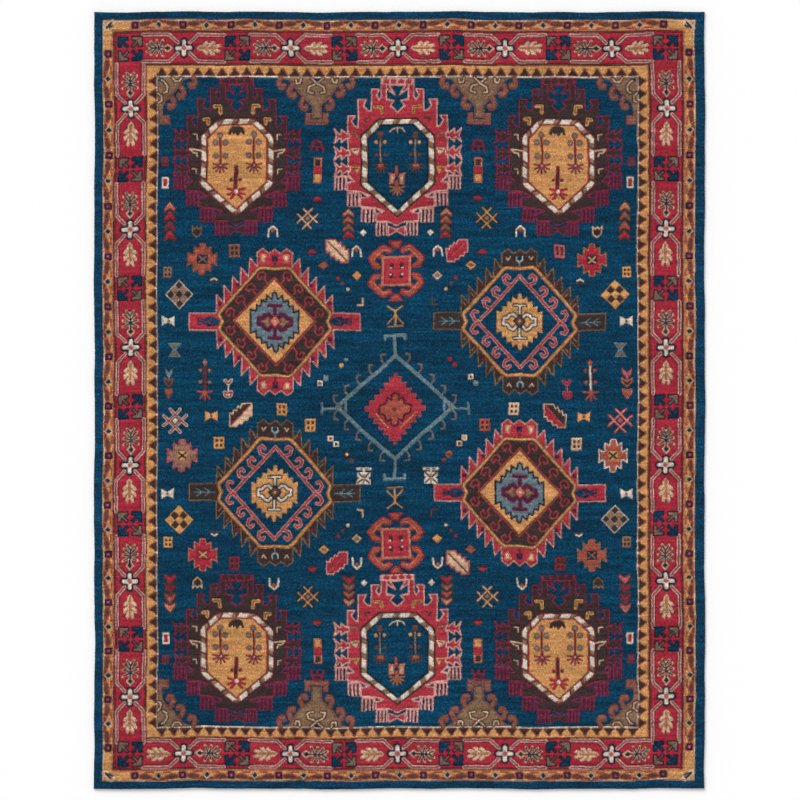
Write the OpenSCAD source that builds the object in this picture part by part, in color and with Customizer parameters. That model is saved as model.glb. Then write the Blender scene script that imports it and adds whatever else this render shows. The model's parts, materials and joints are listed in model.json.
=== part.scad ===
// Hand-tufted wool area rug in the Heriz and Kazak manner.
// X runs across the rug, Y from foot to head, Z up from the floor. Millimetres.
// The backing is five flat layers inside a folded hem, and the pile stands on it.
// Every yarn area of the pile is a solid of its own, and neighbours meet face to face.

/* [Rug] */
// Width of the rug from side to side
rug_w = 2286; // [2270:1:2320]
// Length of the rug from foot to head
rug_l = 2910; // [2900:1:2960]
// Height of the pile above the primary cloth
pile_h = 12; // [6:1:18]

/* [Backing] */
// Thickness of the cotton backing cloth and of the tape beside it
backing_t = 1; // [0.6:0.1:2]
// Thickness of the adhesive under the scrim
adhesive_t = 0.4; // [0.2:0.1:1]
// Thickness of the scrim net
scrim_t = 0.4; // [0.2:0.1:1]
// Thickness of the latex that locks the tufts
latex_t = 1.4; // [0.8:0.1:3]
// Thickness of the primary cloth that carries the tufts
primary_t = 0.8; // [0.5:0.1:1.5]
// Width of the binding tape on the underside
tape_w = 40; // [32:1:60]
// Width of the primary cloth folded under at each edge
hem_w = 30; // [15:1:31]

/* [Borders] */
// Inner edge of the navy edge band from each side: left, right, head, foot
edge_band = [32, 36, 31, 30]; // [28:1:38]
// Inner edge of the gold outer guard
outer_guard = [72, 80, 72, 72]; // [70:1:80]
// Inner edge of the maroon line beside it
outer_line = [81, 88, 81, 78]; // [78:1:88]
// Inner edge of the red main border
main_band = [188, 203, 196, 184]; // [184:1:203]
// Inner edge of the maroon line beside it
inner_line = [195, 212, 204, 192]; // [192:1:212]
// Inner edge of the gold inner guard
inner_guard = [230, 245, 239, 224]; // [224:1:245]
// Inner edge of the cream line round the field
cream_line = [237, 253, 248, 233]; // [233:1:253]
// Number of border repeats across the head and the foot
border_repeats_x = 5; // [4:1:6]
// Number of border repeats along each side
border_repeats_y = 6; // [5:1:7]
// How far the middle of the side borders has slipped toward the foot
middle_slip = 22; // [0:1:26]

/* [Field] */
// Distance of the pattern's long axis from the rug's own
axis_x = -8; // [-12:1:0]
// Distance of the pattern's cross axis from the rug's own
axis_y = -27; // [-30:1:-24]
// Distance of the outer shields from the pattern's long axis
shield_x = 602; // [590:1:610]
// Distance of the four medallions from the pattern's long axis
medallion_x = 458; // [450:1:465]
// Distance of the four medallions from the pattern's cross axis
medallion_y = 320; // [315:1:325]
// Distance of the crab motifs from the pattern's cross axis
crab_y = 511; // [506:1:514]

/* [Hidden] */
base_t = backing_t + adhesive_t + scrim_t + latex_t + primary_t;
scrim_z = backing_t + adhesive_t;
latex_z = scrim_z + scrim_t;
fold_t = adhesive_t + scrim_t;

// Limits of the border's centre line and of the field
border_mid = (main_band + outer_line) / 2;
border_left = -rug_w / 2 + border_mid[0];
border_right = rug_w / 2 - border_mid[1];
border_head = rug_l / 2 - border_mid[2];
border_foot = -rug_l / 2 + border_mid[3];
field_left = -rug_w / 2 + cream_line[0];
field_right = rug_w / 2 - cream_line[1];
field_head = rug_l / 2 - cream_line[2];
field_foot = -rug_l / 2 + cream_line[3];

// Shields: the head row stands a little taller than the foot row
shield_top = 342;
shield_foot_share = 0.945;
shield_head_y = field_head - 4 - shield_top;
shield_foot_y = field_foot + 4 + 255 * shield_foot_share;

// A place along a side of the rug, after the slip of its middle
function slipped(y) = y - middle_slip * (1 - pow(y / border_head, 2));

// Height of a side run's block, counted from the head
function side_y(j) = slipped(border_head + (border_foot - border_head) * j / border_repeats_y);

// ---- Outline helpers -------------------------------------------------------------------------

// A whole outline from its right half, listed from top to bottom
function both_sides(half) = concat(
    half,
    [for (i = [len(half) - 1 : -1 : 0]) if (half[i][0] > 0) [-half[i][0], half[i][1]]]
);

// The right half of an outline from its upper right quarter
function right_half(quarter) = concat(
    quarter,
    [for (i = [len(quarter) - 1 : -1 : 0]) if (quarter[i][1] > 0) [quarter[i][0], -quarter[i][1]]]
);

// A whole outline from its upper right quarter
function four_ways(quarter) = both_sides(right_half(quarter));

// The same outline, with its height multiplied
function stretched(outline, share) = [for (p = outline) [p[0], p[1] * share]];

// The stepped edge of a diamond, from its top corner to its right corner
function stepped_quarter(half_w, half_h, steps) = [
    for (i = [0 : steps - 1])
        for (riser = [0, 1])
            [half_w * (i + 1) / (steps + 0.5), half_h * (steps - i - riser * 0.7 + 0.5) / (steps + 0.5)]
];

// The rectangle that lies inside the given distances from the rug's four edges
module inset_rect(inset) {
    translate([-rug_w / 2 + inset[0], -rug_l / 2 + inset[3]])
        square([rug_w - inset[0] - inset[1], rug_l - inset[2] - inset[3]]);
}

// The stripe between two such rectangles
module stripe(outer, inner) {
    difference() {
        inset_rect(outer);
        inset_rect(inner);
    }
}

// Pile of one yarn over a flat outline
module pile() {
    translate([0, 0, base_t])
        linear_extrude(height = pile_h)
            children();
}

// Copies on both sides of the pattern's long axis
module on_both_sides(x, y) {
    for (side = [-1, 1])
        translate([axis_x + side * x, y])
            mirror([side < 0 ? 1 : 0, 0])
                children();
}

// Copies in all four quarters of the field
module in_four_quarters(x, y) {
    for (end = [-1, 1])
        on_both_sides(x, axis_y + end * y)
            children();
}

// ---- Backing ---------------------------------------------------------------------------------

module backing_cloth() {
    color("antiquewhite")
        linear_extrude(height = backing_t)
            inset_rect([tape_w, tape_w, tape_w, tape_w]);
}

// One strip of tape with mitred ends, along the foot of a rug of the given length of edge
module tape_strip(edge_l) {
    linear_extrude(height = backing_t)
        polygon([
            [-edge_l / 2, 0], [edge_l / 2, 0],
            [edge_l / 2 - tape_w, tape_w], [-edge_l / 2 + tape_w, tape_w]
        ]);
}

module tape_left() {
    color("tan") translate([-rug_w / 2, 0, 0]) rotate([0, 0, -90]) tape_strip(rug_l);
}

module tape_right() {
    color("tan") translate([rug_w / 2, 0, 0]) rotate([0, 0, 90]) tape_strip(rug_l);
}

module tape_head() {
    color("tan") translate([0, rug_l / 2, 0]) rotate([0, 0, 180]) tape_strip(rug_w);
}

module tape_foot() {
    color("tan") translate([0, -rug_l / 2, 0]) tape_strip(rug_w);
}

module adhesive_coat() {
    color("wheat")
        translate([0, 0, backing_t])
            linear_extrude(height = adhesive_t)
                inset_rect([hem_w, hem_w, hem_w, hem_w]);
}

module scrim_net() {
    color("ivory")
        translate([0, 0, scrim_z])
            linear_extrude(height = scrim_t)
                inset_rect([hem_w, hem_w, hem_w, hem_w]);
}

module latex_coat() {
    color("khaki")
        translate([0, 0, latex_z])
            linear_extrude(height = latex_t)
                inset_rect([primary_t, primary_t, primary_t, primary_t]);
}

// The primary cloth lies over the latex, turns down at the edges and folds under as a hem
module primary_cloth() {
    fold = [hem_w, hem_w, hem_w, hem_w];
    wall = [primary_t, primary_t, primary_t, primary_t];
    color("linen")
        union() {
            translate([0, 0, base_t - primary_t])
                linear_extrude(height = primary_t) inset_rect([0, 0, 0, 0]);
            translate([0, 0, latex_z])
                linear_extrude(height = latex_t) stripe([0, 0, 0, 0], wall);
            translate([0, 0, backing_t])
                linear_extrude(height = fold_t) stripe([0, 0, 0, 0], fold);
        }
}

// ---- Outer stripes ---------------------------------------------------------------------------

guard_square_w = 20;
guard_square_h = 28;
guard_diamond_r = 11;
guard_steps_x = 11;
guard_steps_y = 14;

// Places along the outer guard: whole numbers of steps are squares, halves are diamonds
module along_guard(first) {
    mid = (edge_band + outer_guard) / 2;
    pitch_x = (rug_w - 306) / guard_steps_x;
    pitch_y = (rug_l - 311) / guard_steps_y;
    for (i = [first : guard_steps_x - first])
        for (y = [rug_l / 2 - mid[2], -rug_l / 2 + mid[3]])
            translate([pitch_x * (i - guard_steps_x / 2), y]) children();
    for (i = [first : guard_steps_y - first])
        for (x = [rug_w / 2 - mid[1], -rug_w / 2 + mid[0]])
            translate([x, slipped(pitch_y * (i - guard_steps_y / 2))]) rotate(90) children();
}

module guard_square_outlines() {
    along_guard(0) square([guard_square_w, guard_square_h], center = true);
}

module guard_diamond_outlines() {
    along_guard(0.5) polygon(four_ways([[0, guard_diamond_r], [guard_diamond_r, 0]]));
}

module edge_band_pile() {
    color("midnightblue") pile() stripe([0, 0, 0, 0], edge_band);
}

module outer_guard_pile() {
    color("goldenrod")
        pile()
            difference() {
                stripe(edge_band, outer_guard);
                guard_square_outlines();
                guard_diamond_outlines();
            }
}

module guard_squares() {
    color("maroon") pile() guard_square_outlines();
}

module guard_diamonds() {
    color("navy") pile() guard_diamond_outlines();
}

module outer_line_pile() {
    color("darkred") pile() stripe(outer_guard, outer_line);
}

// ---- Main border -----------------------------------------------------------------------------

block_half = 51;
arrow_cell = 48;
cross_arm = 33;
cross_arm_w = 26;
cartouche_half = 53;
cartouche_band = 12;

// The units of the border between one block and the next. The head run starts at the left, the foot
// run at the right, and both side runs at the head.
module along_border() {
    run_x = border_right - border_left;
    pitch_x = run_x / border_repeats_x;
    for (i = [0 : border_repeats_x - 1]) {
        translate([border_left + pitch_x * i, border_head])
            repeat_unit(pitch_x) children();
        translate([border_right - pitch_x * i, border_foot])
            rotate(180) repeat_unit(pitch_x) children();
    }
    for (x = [border_left, border_right])
        for (j = [0 : border_repeats_y - 1])
            translate([x, side_y(j)])
                rotate(-90) repeat_unit(side_y(j) - side_y(j + 1)) children();
}

// The unit's half length, handed to what is drawn inside it
module repeat_unit(pitch) {
    $half_pitch = pitch / 2;
    children();
}

// The long six-sided frame that opens towards its block and closes on the cross
module cartouche_outline() {
    near = block_half + 1;
    far = $half_pitch - 18;
    slope = $half_pitch - 56;
    inner = cartouche_half - cartouche_band;
    difference() {
        polygon(right_to_left([[near, cartouche_half], [slope, cartouche_half], [far, 20]]));
        polygon(right_to_left([[near - 1, inner], [slope - 5, inner], [far - 10, 14], [far + 1, 14]]));
    }
}

// An outline closed by the mirror image of its upper edge below the centre line
function right_to_left(upper) = concat(
    upper, [for (i = [len(upper) - 1 : -1 : 0]) [upper[i][0], -upper[i][1]]]
);

// Leaf and palmette share one outline: a stem end, two lobes and a broad tip
function leaf_outline() = right_to_left([
    [-44, 8], [-34, 24], [-22, 14], [-12, 30], [2, 18], [14, 28], [22, 10], [34, 15], [47, 0.5]
]);

module cartouche_outlines_2d() {
    along_border() {
        cartouche_outline();
        translate([2 * $half_pitch, 0]) mirror([1, 0]) cartouche_outline();
    }
}

module palmettes_2d() {
    along_border() translate([$half_pitch - 95, 0]) polygon(leaf_outline());
}

module leaves_2d() {
    along_border() translate([$half_pitch + 95, 0]) mirror([1, 0]) polygon(leaf_outline());
}

module crosses_2d() {
    along_border()
        translate([$half_pitch, 0]) {
            square([2 * cross_arm, cross_arm_w], center = true);
            square([cross_arm_w, 2 * cross_arm], center = true);
        }
}

// A bent arrow that points away from the middle of its block
module arrow() {
    polygon([[6, 6], [16, 6], [26, 14], [26, 4], [44, 4], [44, 44], [4, 44], [4, 26], [14, 26], [6, 16]]);
}

// Two arrows of a block, in opposite quarters
module arrow_pair(first_quarter) {
    for (turn = [first_quarter, first_quarter + 180])
        rotate(turn) arrow();
}

// The arrows of one yarn. At the head and the foot the navy pairs lie on the diagonal through the
// nearer corner of the rug. Along each side they all lie as at that side's foot corner.
module arrows_2d(navy) {
    pitch_x = (border_right - border_left) / border_repeats_x;
    for (end = [-1, 1])
        for (i = [0 : border_repeats_x]) {
            side = i < border_repeats_x / 2 ? -1 : 1;
            translate([border_left + pitch_x * i, end > 0 ? border_head : border_foot])
                arrow_pair((side * end > 0) == navy ? 0 : 90);
        }
    for (side = [-1, 1])
        for (j = [1 : border_repeats_y - 1])
            translate([side > 0 ? border_right : border_left, side_y(j)])
                arrow_pair((side > 0) == navy ? 90 : 0);
}

module main_border_pile() {
    color("crimson")
        pile()
            difference() {
                stripe(outer_line, main_band);
                cartouche_outlines_2d();
                palmettes_2d();
                leaves_2d();
                crosses_2d();
                arrows_2d(true);
                arrows_2d(false);
            }
}

module cartouche_outlines() {
    color("rosybrown") pile() cartouche_outlines_2d();
}

module border_palmettes() {
    color("burlywood") pile() palmettes_2d();
}

module border_leaves() {
    color("moccasin") pile() leaves_2d();
}

module border_crosses() {
    color("gainsboro") pile() crosses_2d();
}

module navy_arrows() {
    color("midnightblue") pile() arrows_2d(true);
}

module khaki_arrows() {
    color("darkkhaki") pile() arrows_2d(false);
}

// ---- Inner stripes ---------------------------------------------------------------------------

tooth_base = 32;
tooth_h = 21;
teeth_x = 40;
teeth_y = 52;

// A triangle that stands on the cream line and points away from the field
module tooth() {
    polygon([[-tooth_base / 2, 0], [tooth_base / 2, 0], [0, tooth_h]]);
}

module teeth_2d() {
    left = -rug_w / 2 + inner_guard[0];
    right = rug_w / 2 - inner_guard[1];
    head = rug_l / 2 - inner_guard[2];
    foot = -rug_l / 2 + inner_guard[3];
    for (i = [0.5 : teeth_x - 0.5]) {
        x = left + (right - left) * i / teeth_x;
        translate([x, head]) tooth();
        translate([x, foot]) rotate(180) tooth();
    }
    for (j = [0.5 : teeth_y - 0.5]) {
        y = foot + (head - foot) * j / teeth_y;
        translate([left, y]) rotate(90) tooth();
        translate([right, y]) rotate(-90) tooth();
    }
}

module inner_line_pile() {
    color("darkred") pile() stripe(main_band, inner_line);
}

module inner_guard_pile() {
    color("goldenrod")
        pile()
            difference() {
                stripe(inner_line, inner_guard);
                teeth_2d();
            }
}

module inner_guard_teeth() {
    color("saddlebrown") pile() teeth_2d();
}

module cream_line_pile() {
    color("beige") pile() stripe(inner_guard, cream_line);
}

// ---- Brackets --------------------------------------------------------------------------------

corner_bracket = [[0, 0], [150, 0], [150, -30], [120, -40], [105, -75], [75, -85], [60, -120], [35, -130],
    [30, -165], [0, -165]];
edge_bracket_half = [[150, 0], [150, -30], [120, -38], [100, -72], [62, -80], [52, -112], [28, -118],
    [30, -166]];
edge_bracket_x = 304;

module corner_brackets_2d() {
    for (x = [field_left, field_right])
        for (y = [field_head, field_foot])
            translate([x, y])
                mirror([x > 0 ? 1 : 0, 0])
                    mirror([0, y < 0 ? 1 : 0])
                        polygon(corner_bracket);
}

module edge_brackets_2d() {
    for (y = [field_head, field_foot])
        on_both_sides(edge_bracket_x, y)
            mirror([0, y < 0 ? 1 : 0])
                polygon(both_sides(edge_bracket_half));
}

module corner_brackets() {
    color("darkkhaki") pile() corner_brackets_2d();
}

module edge_brackets() {
    color("darkkhaki") pile() edge_brackets_2d();
}

// ---- Shields ---------------------------------------------------------------------------------

shield_half = [[62, 342], [62, 300], [100, 300], [100, 262], [150, 262], [150, 205], [190, 205],
    [190, 150], [235, 150], [235, -80], [190, -80], [190, -145], [130, -145], [130, -200], [88, -200],
    [88, -255]];
shield_ring_half = [[75, 190], [135, 130], [135, -55], [0, -178]];
shield_centre_half = [[65, 168], [110, 120], [110, -48], [0, -152]];

// One outline at every shield of a kind: the outer four, or the middle two
module at_shields(outer, half) {
    for (x = outer ? [-shield_x, shield_x] : [0]) {
        translate([axis_x + x, shield_head_y]) polygon(both_sides(half));
        translate([axis_x + x, shield_foot_y]) polygon(both_sides(stretched(half, shield_foot_share)));
    }
}

module shield_body(outer) {
    pile()
        difference() {
            at_shields(outer, shield_half);
            at_shields(outer, shield_ring_half);
        }
}

module shield_ring(outer) {
    pile()
        difference() {
            at_shields(outer, shield_ring_half);
            at_shields(outer, shield_centre_half);
        }
}

module brown_shields() {
    color("maroon") shield_body(true);
}

module brown_shield_rings() {
    color("wheat") shield_ring(true);
}

module brown_shield_centres() {
    color("goldenrod") pile() at_shields(true, shield_centre_half);
}

module red_shields() {
    color("crimson") shield_body(false);
}

module red_shield_rings() {
    color("tan") shield_ring(false);
}

module red_shield_centres() {
    color("midnightblue") pile() at_shields(false, shield_centre_half);
}

// ---- Medallions ------------------------------------------------------------------------------

medallion_line = [[56, 206], [211, 28]];
medallion_band = [[50, 193], [197, 25]];
medallion_diamond_w = 142;
medallion_diamond_h = 160;
tooth_tips = [[93, 235], [126, 201], [159, 167], [190, 133], [218, 99]];
tooth_rise = 33;
tooth_run = 28;
arm_reach = 324;
arm_half_w = 31;

// Collar round a medallion: a lobed top, a flight of teeth and an arm, in one quarter
collar_quarter = concat(
    [[0, 272], [22, 258], [44, 272], [66, 256], [66, 210]],
    [for (tip = tooth_tips) for (point = [tip - [tooth_run, tooth_rise], tip]) point],
    [[222, arm_half_w], [arm_reach, arm_half_w]]
);
medallion_diamond = [[0, medallion_diamond_h], [medallion_diamond_w, 0]];
medallion_star = stepped_quarter(94, 118, 6);

// Red medallions lie head left and foot right, brown ones head right and foot left
module at_medallions(red) {
    flip = red ? 1 : -1;
    for (end = [-1, 1])
        translate([axis_x - flip * end * medallion_x, axis_y + end * medallion_y]) children();
}

module red_medallion_collars() {
    color("crimson")
        pile()
            at_medallions(true)
                difference() {
                    polygon(four_ways(collar_quarter));
                    polygon(four_ways(medallion_line));
                }
}

module red_medallion_lines() {
    color("goldenrod")
        pile()
            at_medallions(true)
                difference() {
                    polygon(four_ways(medallion_line));
                    polygon(four_ways(medallion_band));
                }
}

module red_medallion_bands() {
    color("saddlebrown")
        pile()
            at_medallions(true)
                difference() {
                    polygon(four_ways(medallion_band));
                    polygon(four_ways(medallion_diamond));
                }
}

module red_medallion_hearts() {
    color("goldenrod")
        pile()
            at_medallions(true)
                difference() {
                    polygon(four_ways(medallion_diamond));
                    polygon(four_ways(medallion_star));
                }
}

module red_medallion_stars() {
    color("steelblue") pile() at_medallions(true) polygon(four_ways(medallion_star));
}

module brown_medallion_collars() {
    color("saddlebrown")
        pile()
            at_medallions(false)
                difference() {
                    polygon(four_ways(collar_quarter));
                    polygon(four_ways(medallion_line));
                }
}

module brown_medallion_lines() {
    color("goldenrod")
        pile()
            at_medallions(false)
                difference() {
                    polygon(four_ways(medallion_line));
                    polygon(four_ways(medallion_band));
                }
}

module brown_medallion_bands() {
    color("midnightblue")
        pile()
            at_medallions(false)
                difference() {
                    polygon(four_ways(medallion_band));
                    polygon(four_ways(medallion_star));
                }
}

module brown_medallion_stars() {
    color("goldenrod") pile() at_medallions(false) polygon(four_ways(medallion_star));
}

// ---- Centre of the field ---------------------------------------------------------------------

lozenge_w = 222;
lozenge_h = 196;
lozenge_line = 15;
stem_l = 78;
side_stem_l = 52;
stem_half_w = 9;
bar_half_l = 45;
bar_w = 20;
lozenge_star_quarter = stepped_quarter(126, 150, 8);
crab_claw = [[18, 50], [18, 90], [44, 112], [99, 71], [111, 44], [90, 20], [50, 20]];
tree_half = [[30, 42], [6, 22], [30, -8], [6, 2], [6, -28], [34, -28], [34, -36]];

// A stem with a bar across its end, pointing up from a corner of the frame
module stem_and_bar(corner, length) {
    translate([-stem_half_w, corner - 14]) square([2 * stem_half_w, length + 14]);
    translate([-bar_half_l, corner + length - bar_w]) square([2 * bar_half_l, bar_w]);
}

module lozenge_frame_2d() {
    inner_share = 1 - lozenge_line / lozenge_h * 1.3;
    translate([axis_x - 10, axis_y]) {
        difference() {
            polygon([[0, lozenge_h], [lozenge_w, 0], [0, -lozenge_h], [-lozenge_w, 0]]);
            polygon([[0, lozenge_h * inner_share], [lozenge_w * inner_share, 0],
                [0, -lozenge_h * inner_share], [-lozenge_w * inner_share, 0]]);
        }
        for (turn = [0, 180]) {
            rotate(turn) stem_and_bar(lozenge_h, stem_l);
            rotate(turn + 90) stem_and_bar(lozenge_w, side_stem_l);
        }
    }
}

module lozenge_star_2d() {
    translate([axis_x - 10, axis_y]) polygon(four_ways(lozenge_star_quarter));
}

module crabs_2d() {
    for (end = [-1, 1])
        translate([axis_x - 6, axis_y + end * crab_y]) {
            square([102, 104], center = true);
            for (side_x = [0, 1])
                for (side_y = [0, 1])
                    mirror([side_x, 0]) mirror([0, side_y]) polygon(crab_claw);
        }
}

module trees_2d() {
    for (end = [-1, 1])
        translate([axis_x - 8, axis_y + end * 333])
            mirror([0, end < 0 ? 1 : 0])
                polygon(both_sides(tree_half));
}

module lozenge_frame() {
    color("lightsteelblue") pile() lozenge_frame_2d();
}

module lozenge_star() {
    color("crimson") pile() lozenge_star_2d();
}

module crab_motifs() {
    color("orangered") pile() crabs_2d();
}

module tree_motifs() {
    color("goldenrod") pile() trees_2d();
}

// ---- Filling motifs --------------------------------------------------------------------------

star_quarter = [[14, 61], [18, 43], [42, 47], [42, 26], [60, 28], [54, 0]];
crossed_star_quarter = [[0, 34], [14, 46], [26, 26], [46, 14], [34, 0]];
chevron_half = [[0, 72], [22, 48], [22, -72], [0, -58]];
leaf = [[-48, 51], [0, 51], [6, 26], [24, 26], [43, 2], [48, -50], [-4, -50], [-16, -33], [-36, -13], [-48, 2]];
bow_tie = [[0, 7], [25, 21]];
stalk_half = [[0, 76], [12, 62], [20, 48], [20, -40], [32, -48], [20, -70], [0, -80]];
figure_half = [[0, 24], [20, 12], [22, -24]];

module lobed_stars_2d() {
    in_four_quarters(730, 554) polygon(four_ways(star_quarter));
    on_both_sides(808, axis_y - 181) polygon(four_ways(star_quarter));
}

module crossed_stars_2d() {
    in_four_quarters(336, 709) polygon(four_ways(crossed_star_quarter));
    on_both_sides(834, axis_y - 50) polygon(four_ways(crossed_star_quarter));
}

module checkered_diamonds_2d() {
    in_four_quarters(815, 421) polygon(four_ways([[0, 57], [57, 0]]));
}

module chevron_stacks_2d() {
    in_four_quarters(851, 698) polygon(both_sides(chevron_half));
    in_four_quarters(182, 688) polygon(both_sides(stretched(chevron_half, 0.8)));
    on_both_sides(857, axis_y + 92) polygon(both_sides(stretched(chevron_half, 0.8)));
}

module leaves_in_field_2d() {
    for (end = [-1, 1])
        on_both_sides(225, axis_y + end * 583)
            mirror([end > 0 ? 1 : 0, 0]) polygon(leaf);
    on_both_sides(587, axis_y - 32) polygon(leaf);
}

module bow_ties_2d() {
    in_four_quarters(858, 323) polygon(four_ways(bow_tie));
    on_both_sides(697, axis_y - 35) polygon(four_ways(bow_tie));
    on_both_sides(835, axis_y + 216) rotate(90) polygon(four_ways([[0, 8], [30, 23]]));
}

module small_boxes_2d() {
    in_four_quarters(610, 585) square([42, 54], center = true);
    in_four_quarters(860, 505) square([36, 42], center = true);
    on_both_sides(671, axis_y - 135) square([42, 46], center = true);
    on_both_sides(434, axis_y - 7) square([42, 46], center = true);
    on_both_sides(326, axis_y - 66) square([38, 46], center = true);
    on_both_sides(126, axis_y - 257) square([62, 66], center = true);
}

module flower_stalks_2d() {
    on_both_sides(721, axis_y + 105) polygon(both_sides(stalk_half));
}

module small_figures_2d() {
    in_four_quarters(750, 659) polygon(both_sides(figure_half));
    in_four_quarters(464, 660) polygon(both_sides(figure_half));
    in_four_quarters(152, 584) polygon(both_sides(figure_half));
    on_both_sides(633, axis_y + 67) polygon(both_sides(stretched(figure_half, 1.5)));
}

module seed_diamonds_2d() {
    in_four_quarters(326, 590) polygon(four_ways([[0, 13], [20, 0]]));
    in_four_quarters(278, 531) polygon(four_ways([[0, 18], [24, 0]]));
    in_four_quarters(150, 491) polygon(four_ways([[0, 17], [20, 0]]));
    in_four_quarters(132, 655) polygon(four_ways([[0, 13], [13, 0]]));
    in_four_quarters(682, 477) polygon(four_ways([[0, 9], [18, 0]]));
}

module lobed_stars() {
    color("chocolate") pile() lobed_stars_2d();
}

module crossed_stars() {
    color("burlywood") pile() crossed_stars_2d();
}

module checkered_diamonds() {
    color("darkkhaki") pile() checkered_diamonds_2d();
}

module chevron_stacks() {
    color("indianred") pile() chevron_stacks_2d();
}

module leaf_motifs() {
    color("lightpink") pile() leaves_in_field_2d();
}

module bow_ties() {
    color("beige") pile() bow_ties_2d();
}

module small_boxes() {
    color("peru") pile() small_boxes_2d();
}

module flower_stalks() {
    color("sienna") pile() flower_stalks_2d();
}

module small_figures() {
    color("lightgray") pile() small_figures_2d();
}

module seed_diamonds() {
    color("sandybrown") pile() seed_diamonds_2d();
}

// ---- Field -----------------------------------------------------------------------------------

// The navy ground, with a pocket for every motif that stands in it
module field_pile() {
    color("darkslateblue")
        pile()
            difference() {
                inset_rect(cream_line);
                corner_brackets_2d();
                edge_brackets_2d();
                at_shields(true, shield_half);
                at_shields(false, shield_half);
                at_medallions(true) polygon(four_ways(collar_quarter));
                at_medallions(false) polygon(four_ways(collar_quarter));
                lozenge_frame_2d();
                lozenge_star_2d();
                crabs_2d();
                trees_2d();
                lobed_stars_2d();
                crossed_stars_2d();
                checkered_diamonds_2d();
                chevron_stacks_2d();
                leaves_in_field_2d();
                bow_ties_2d();
                small_boxes_2d();
                flower_stalks_2d();
                small_figures_2d();
                seed_diamonds_2d();
            }
}

// ---- Nodes -----------------------------------------------------------------------------------

backing_cloth();
tape_left();
tape_right();
tape_head();
tape_foot();
adhesive_coat();
scrim_net();
latex_coat();
primary_cloth();
edge_band_pile();
outer_guard_pile();
guard_squares();
guard_diamonds();
outer_line_pile();
main_border_pile();
cartouche_outlines();
border_palmettes();
border_leaves();
border_crosses();
navy_arrows();
khaki_arrows();
inner_line_pile();
inner_guard_pile();
inner_guard_teeth();
cream_line_pile();
field_pile();
corner_brackets();
edge_brackets();
brown_shields();
brown_shield_rings();
brown_shield_centres();
red_shields();
red_shield_rings();
red_shield_centres();
red_medallion_collars();
red_medallion_lines();
red_medallion_bands();
red_medallion_hearts();
red_medallion_stars();
brown_medallion_collars();
brown_medallion_lines();
brown_medallion_bands();
brown_medallion_stars();
lozenge_frame();
lozenge_star();
crab_motifs();
tree_motifs();
lobed_stars();
crossed_stars();
checkered_diamonds();
chevron_stacks();
leaf_motifs();
bow_ties();
small_boxes();
flower_stalks();
small_figures();
seed_diamonds();
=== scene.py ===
"""Hand-tufted wool rug in the Heriz and Kazak manner, laid flat and seen from straight above.

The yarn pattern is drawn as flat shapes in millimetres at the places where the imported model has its
solids. It is then turned into pile: one closed mesh for each yarn area, with a point for every tuft.
"""
import functools
import json
import math

import bpy
import numpy as np
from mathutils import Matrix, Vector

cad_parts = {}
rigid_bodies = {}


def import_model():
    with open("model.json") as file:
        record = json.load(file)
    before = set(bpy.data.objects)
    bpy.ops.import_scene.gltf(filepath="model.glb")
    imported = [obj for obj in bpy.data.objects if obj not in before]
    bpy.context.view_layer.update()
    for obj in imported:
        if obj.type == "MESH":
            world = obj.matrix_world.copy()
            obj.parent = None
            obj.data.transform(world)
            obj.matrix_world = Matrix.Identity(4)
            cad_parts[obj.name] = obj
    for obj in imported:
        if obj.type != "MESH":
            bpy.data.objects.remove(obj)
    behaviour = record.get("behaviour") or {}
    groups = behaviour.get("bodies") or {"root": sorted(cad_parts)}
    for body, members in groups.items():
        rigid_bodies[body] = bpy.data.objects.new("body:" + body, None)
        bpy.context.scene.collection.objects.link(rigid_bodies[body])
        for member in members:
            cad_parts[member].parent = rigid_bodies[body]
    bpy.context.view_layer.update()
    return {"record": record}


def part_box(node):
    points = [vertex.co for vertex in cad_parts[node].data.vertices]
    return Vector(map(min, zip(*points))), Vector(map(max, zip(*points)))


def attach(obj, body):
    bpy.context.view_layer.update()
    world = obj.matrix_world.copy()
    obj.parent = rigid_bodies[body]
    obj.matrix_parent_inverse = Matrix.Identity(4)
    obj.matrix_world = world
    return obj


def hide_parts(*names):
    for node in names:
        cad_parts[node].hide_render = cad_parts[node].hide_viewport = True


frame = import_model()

# ---- Sizes, in millimetres -------------------------------------------------------------------

TUFT = 3.5  # distance from one tuft to the next
FINE = 2  # the pattern is drawn this many times finer than the tufts
DRIFT = 2.0  # how far hand tufting strays from the drawn line
WOBBLE = 0.8  # how far the outlines wobble on top of that, and over what distance
WOBBLE_REACH = 14
rng = np.random.default_rng(1881)


def flat_box(node):
    """Left, foot, right and head limit of a CAD node."""
    low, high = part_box(node)
    return [round(1000 * v, 2) for v in (low.x, low.y, high.x, high.y)]


def welded(mesh):
    """For every vertex, the first one that lies in the same spot."""
    first = {}
    return [first.setdefault(tuple(round(c, 5) for c in v.co), v.index) for v in mesh.vertices]


def solids(node):
    """The flat boxes of a node's separate solids, from the foot of the rug to its head."""
    mesh = bpy.data.objects[node].data
    group = welded(mesh)

    def root(i):
        while group[i] != i:
            i = group[i]
        return i

    for edge in mesh.edges:
        one, two = (root(i) for i in edge.vertices)
        group[max(one, two)] = min(one, two)
    corners = {}
    for vertex in mesh.vertices:
        corners.setdefault(root(vertex.index), []).append((1000 * vertex.co.x, 1000 * vertex.co.y))
    boxes = []
    for points in corners.values():
        low = np.min(points, axis=0)
        high = np.max(points, axis=0)
        boxes.append((low[0], low[1], high[0], high[1]))
    return sorted(boxes, key=lambda b: (round(b[1]), b[0]))


# ---- Yarns: colour as it lies on the rug -----------------------------------------------------

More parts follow.
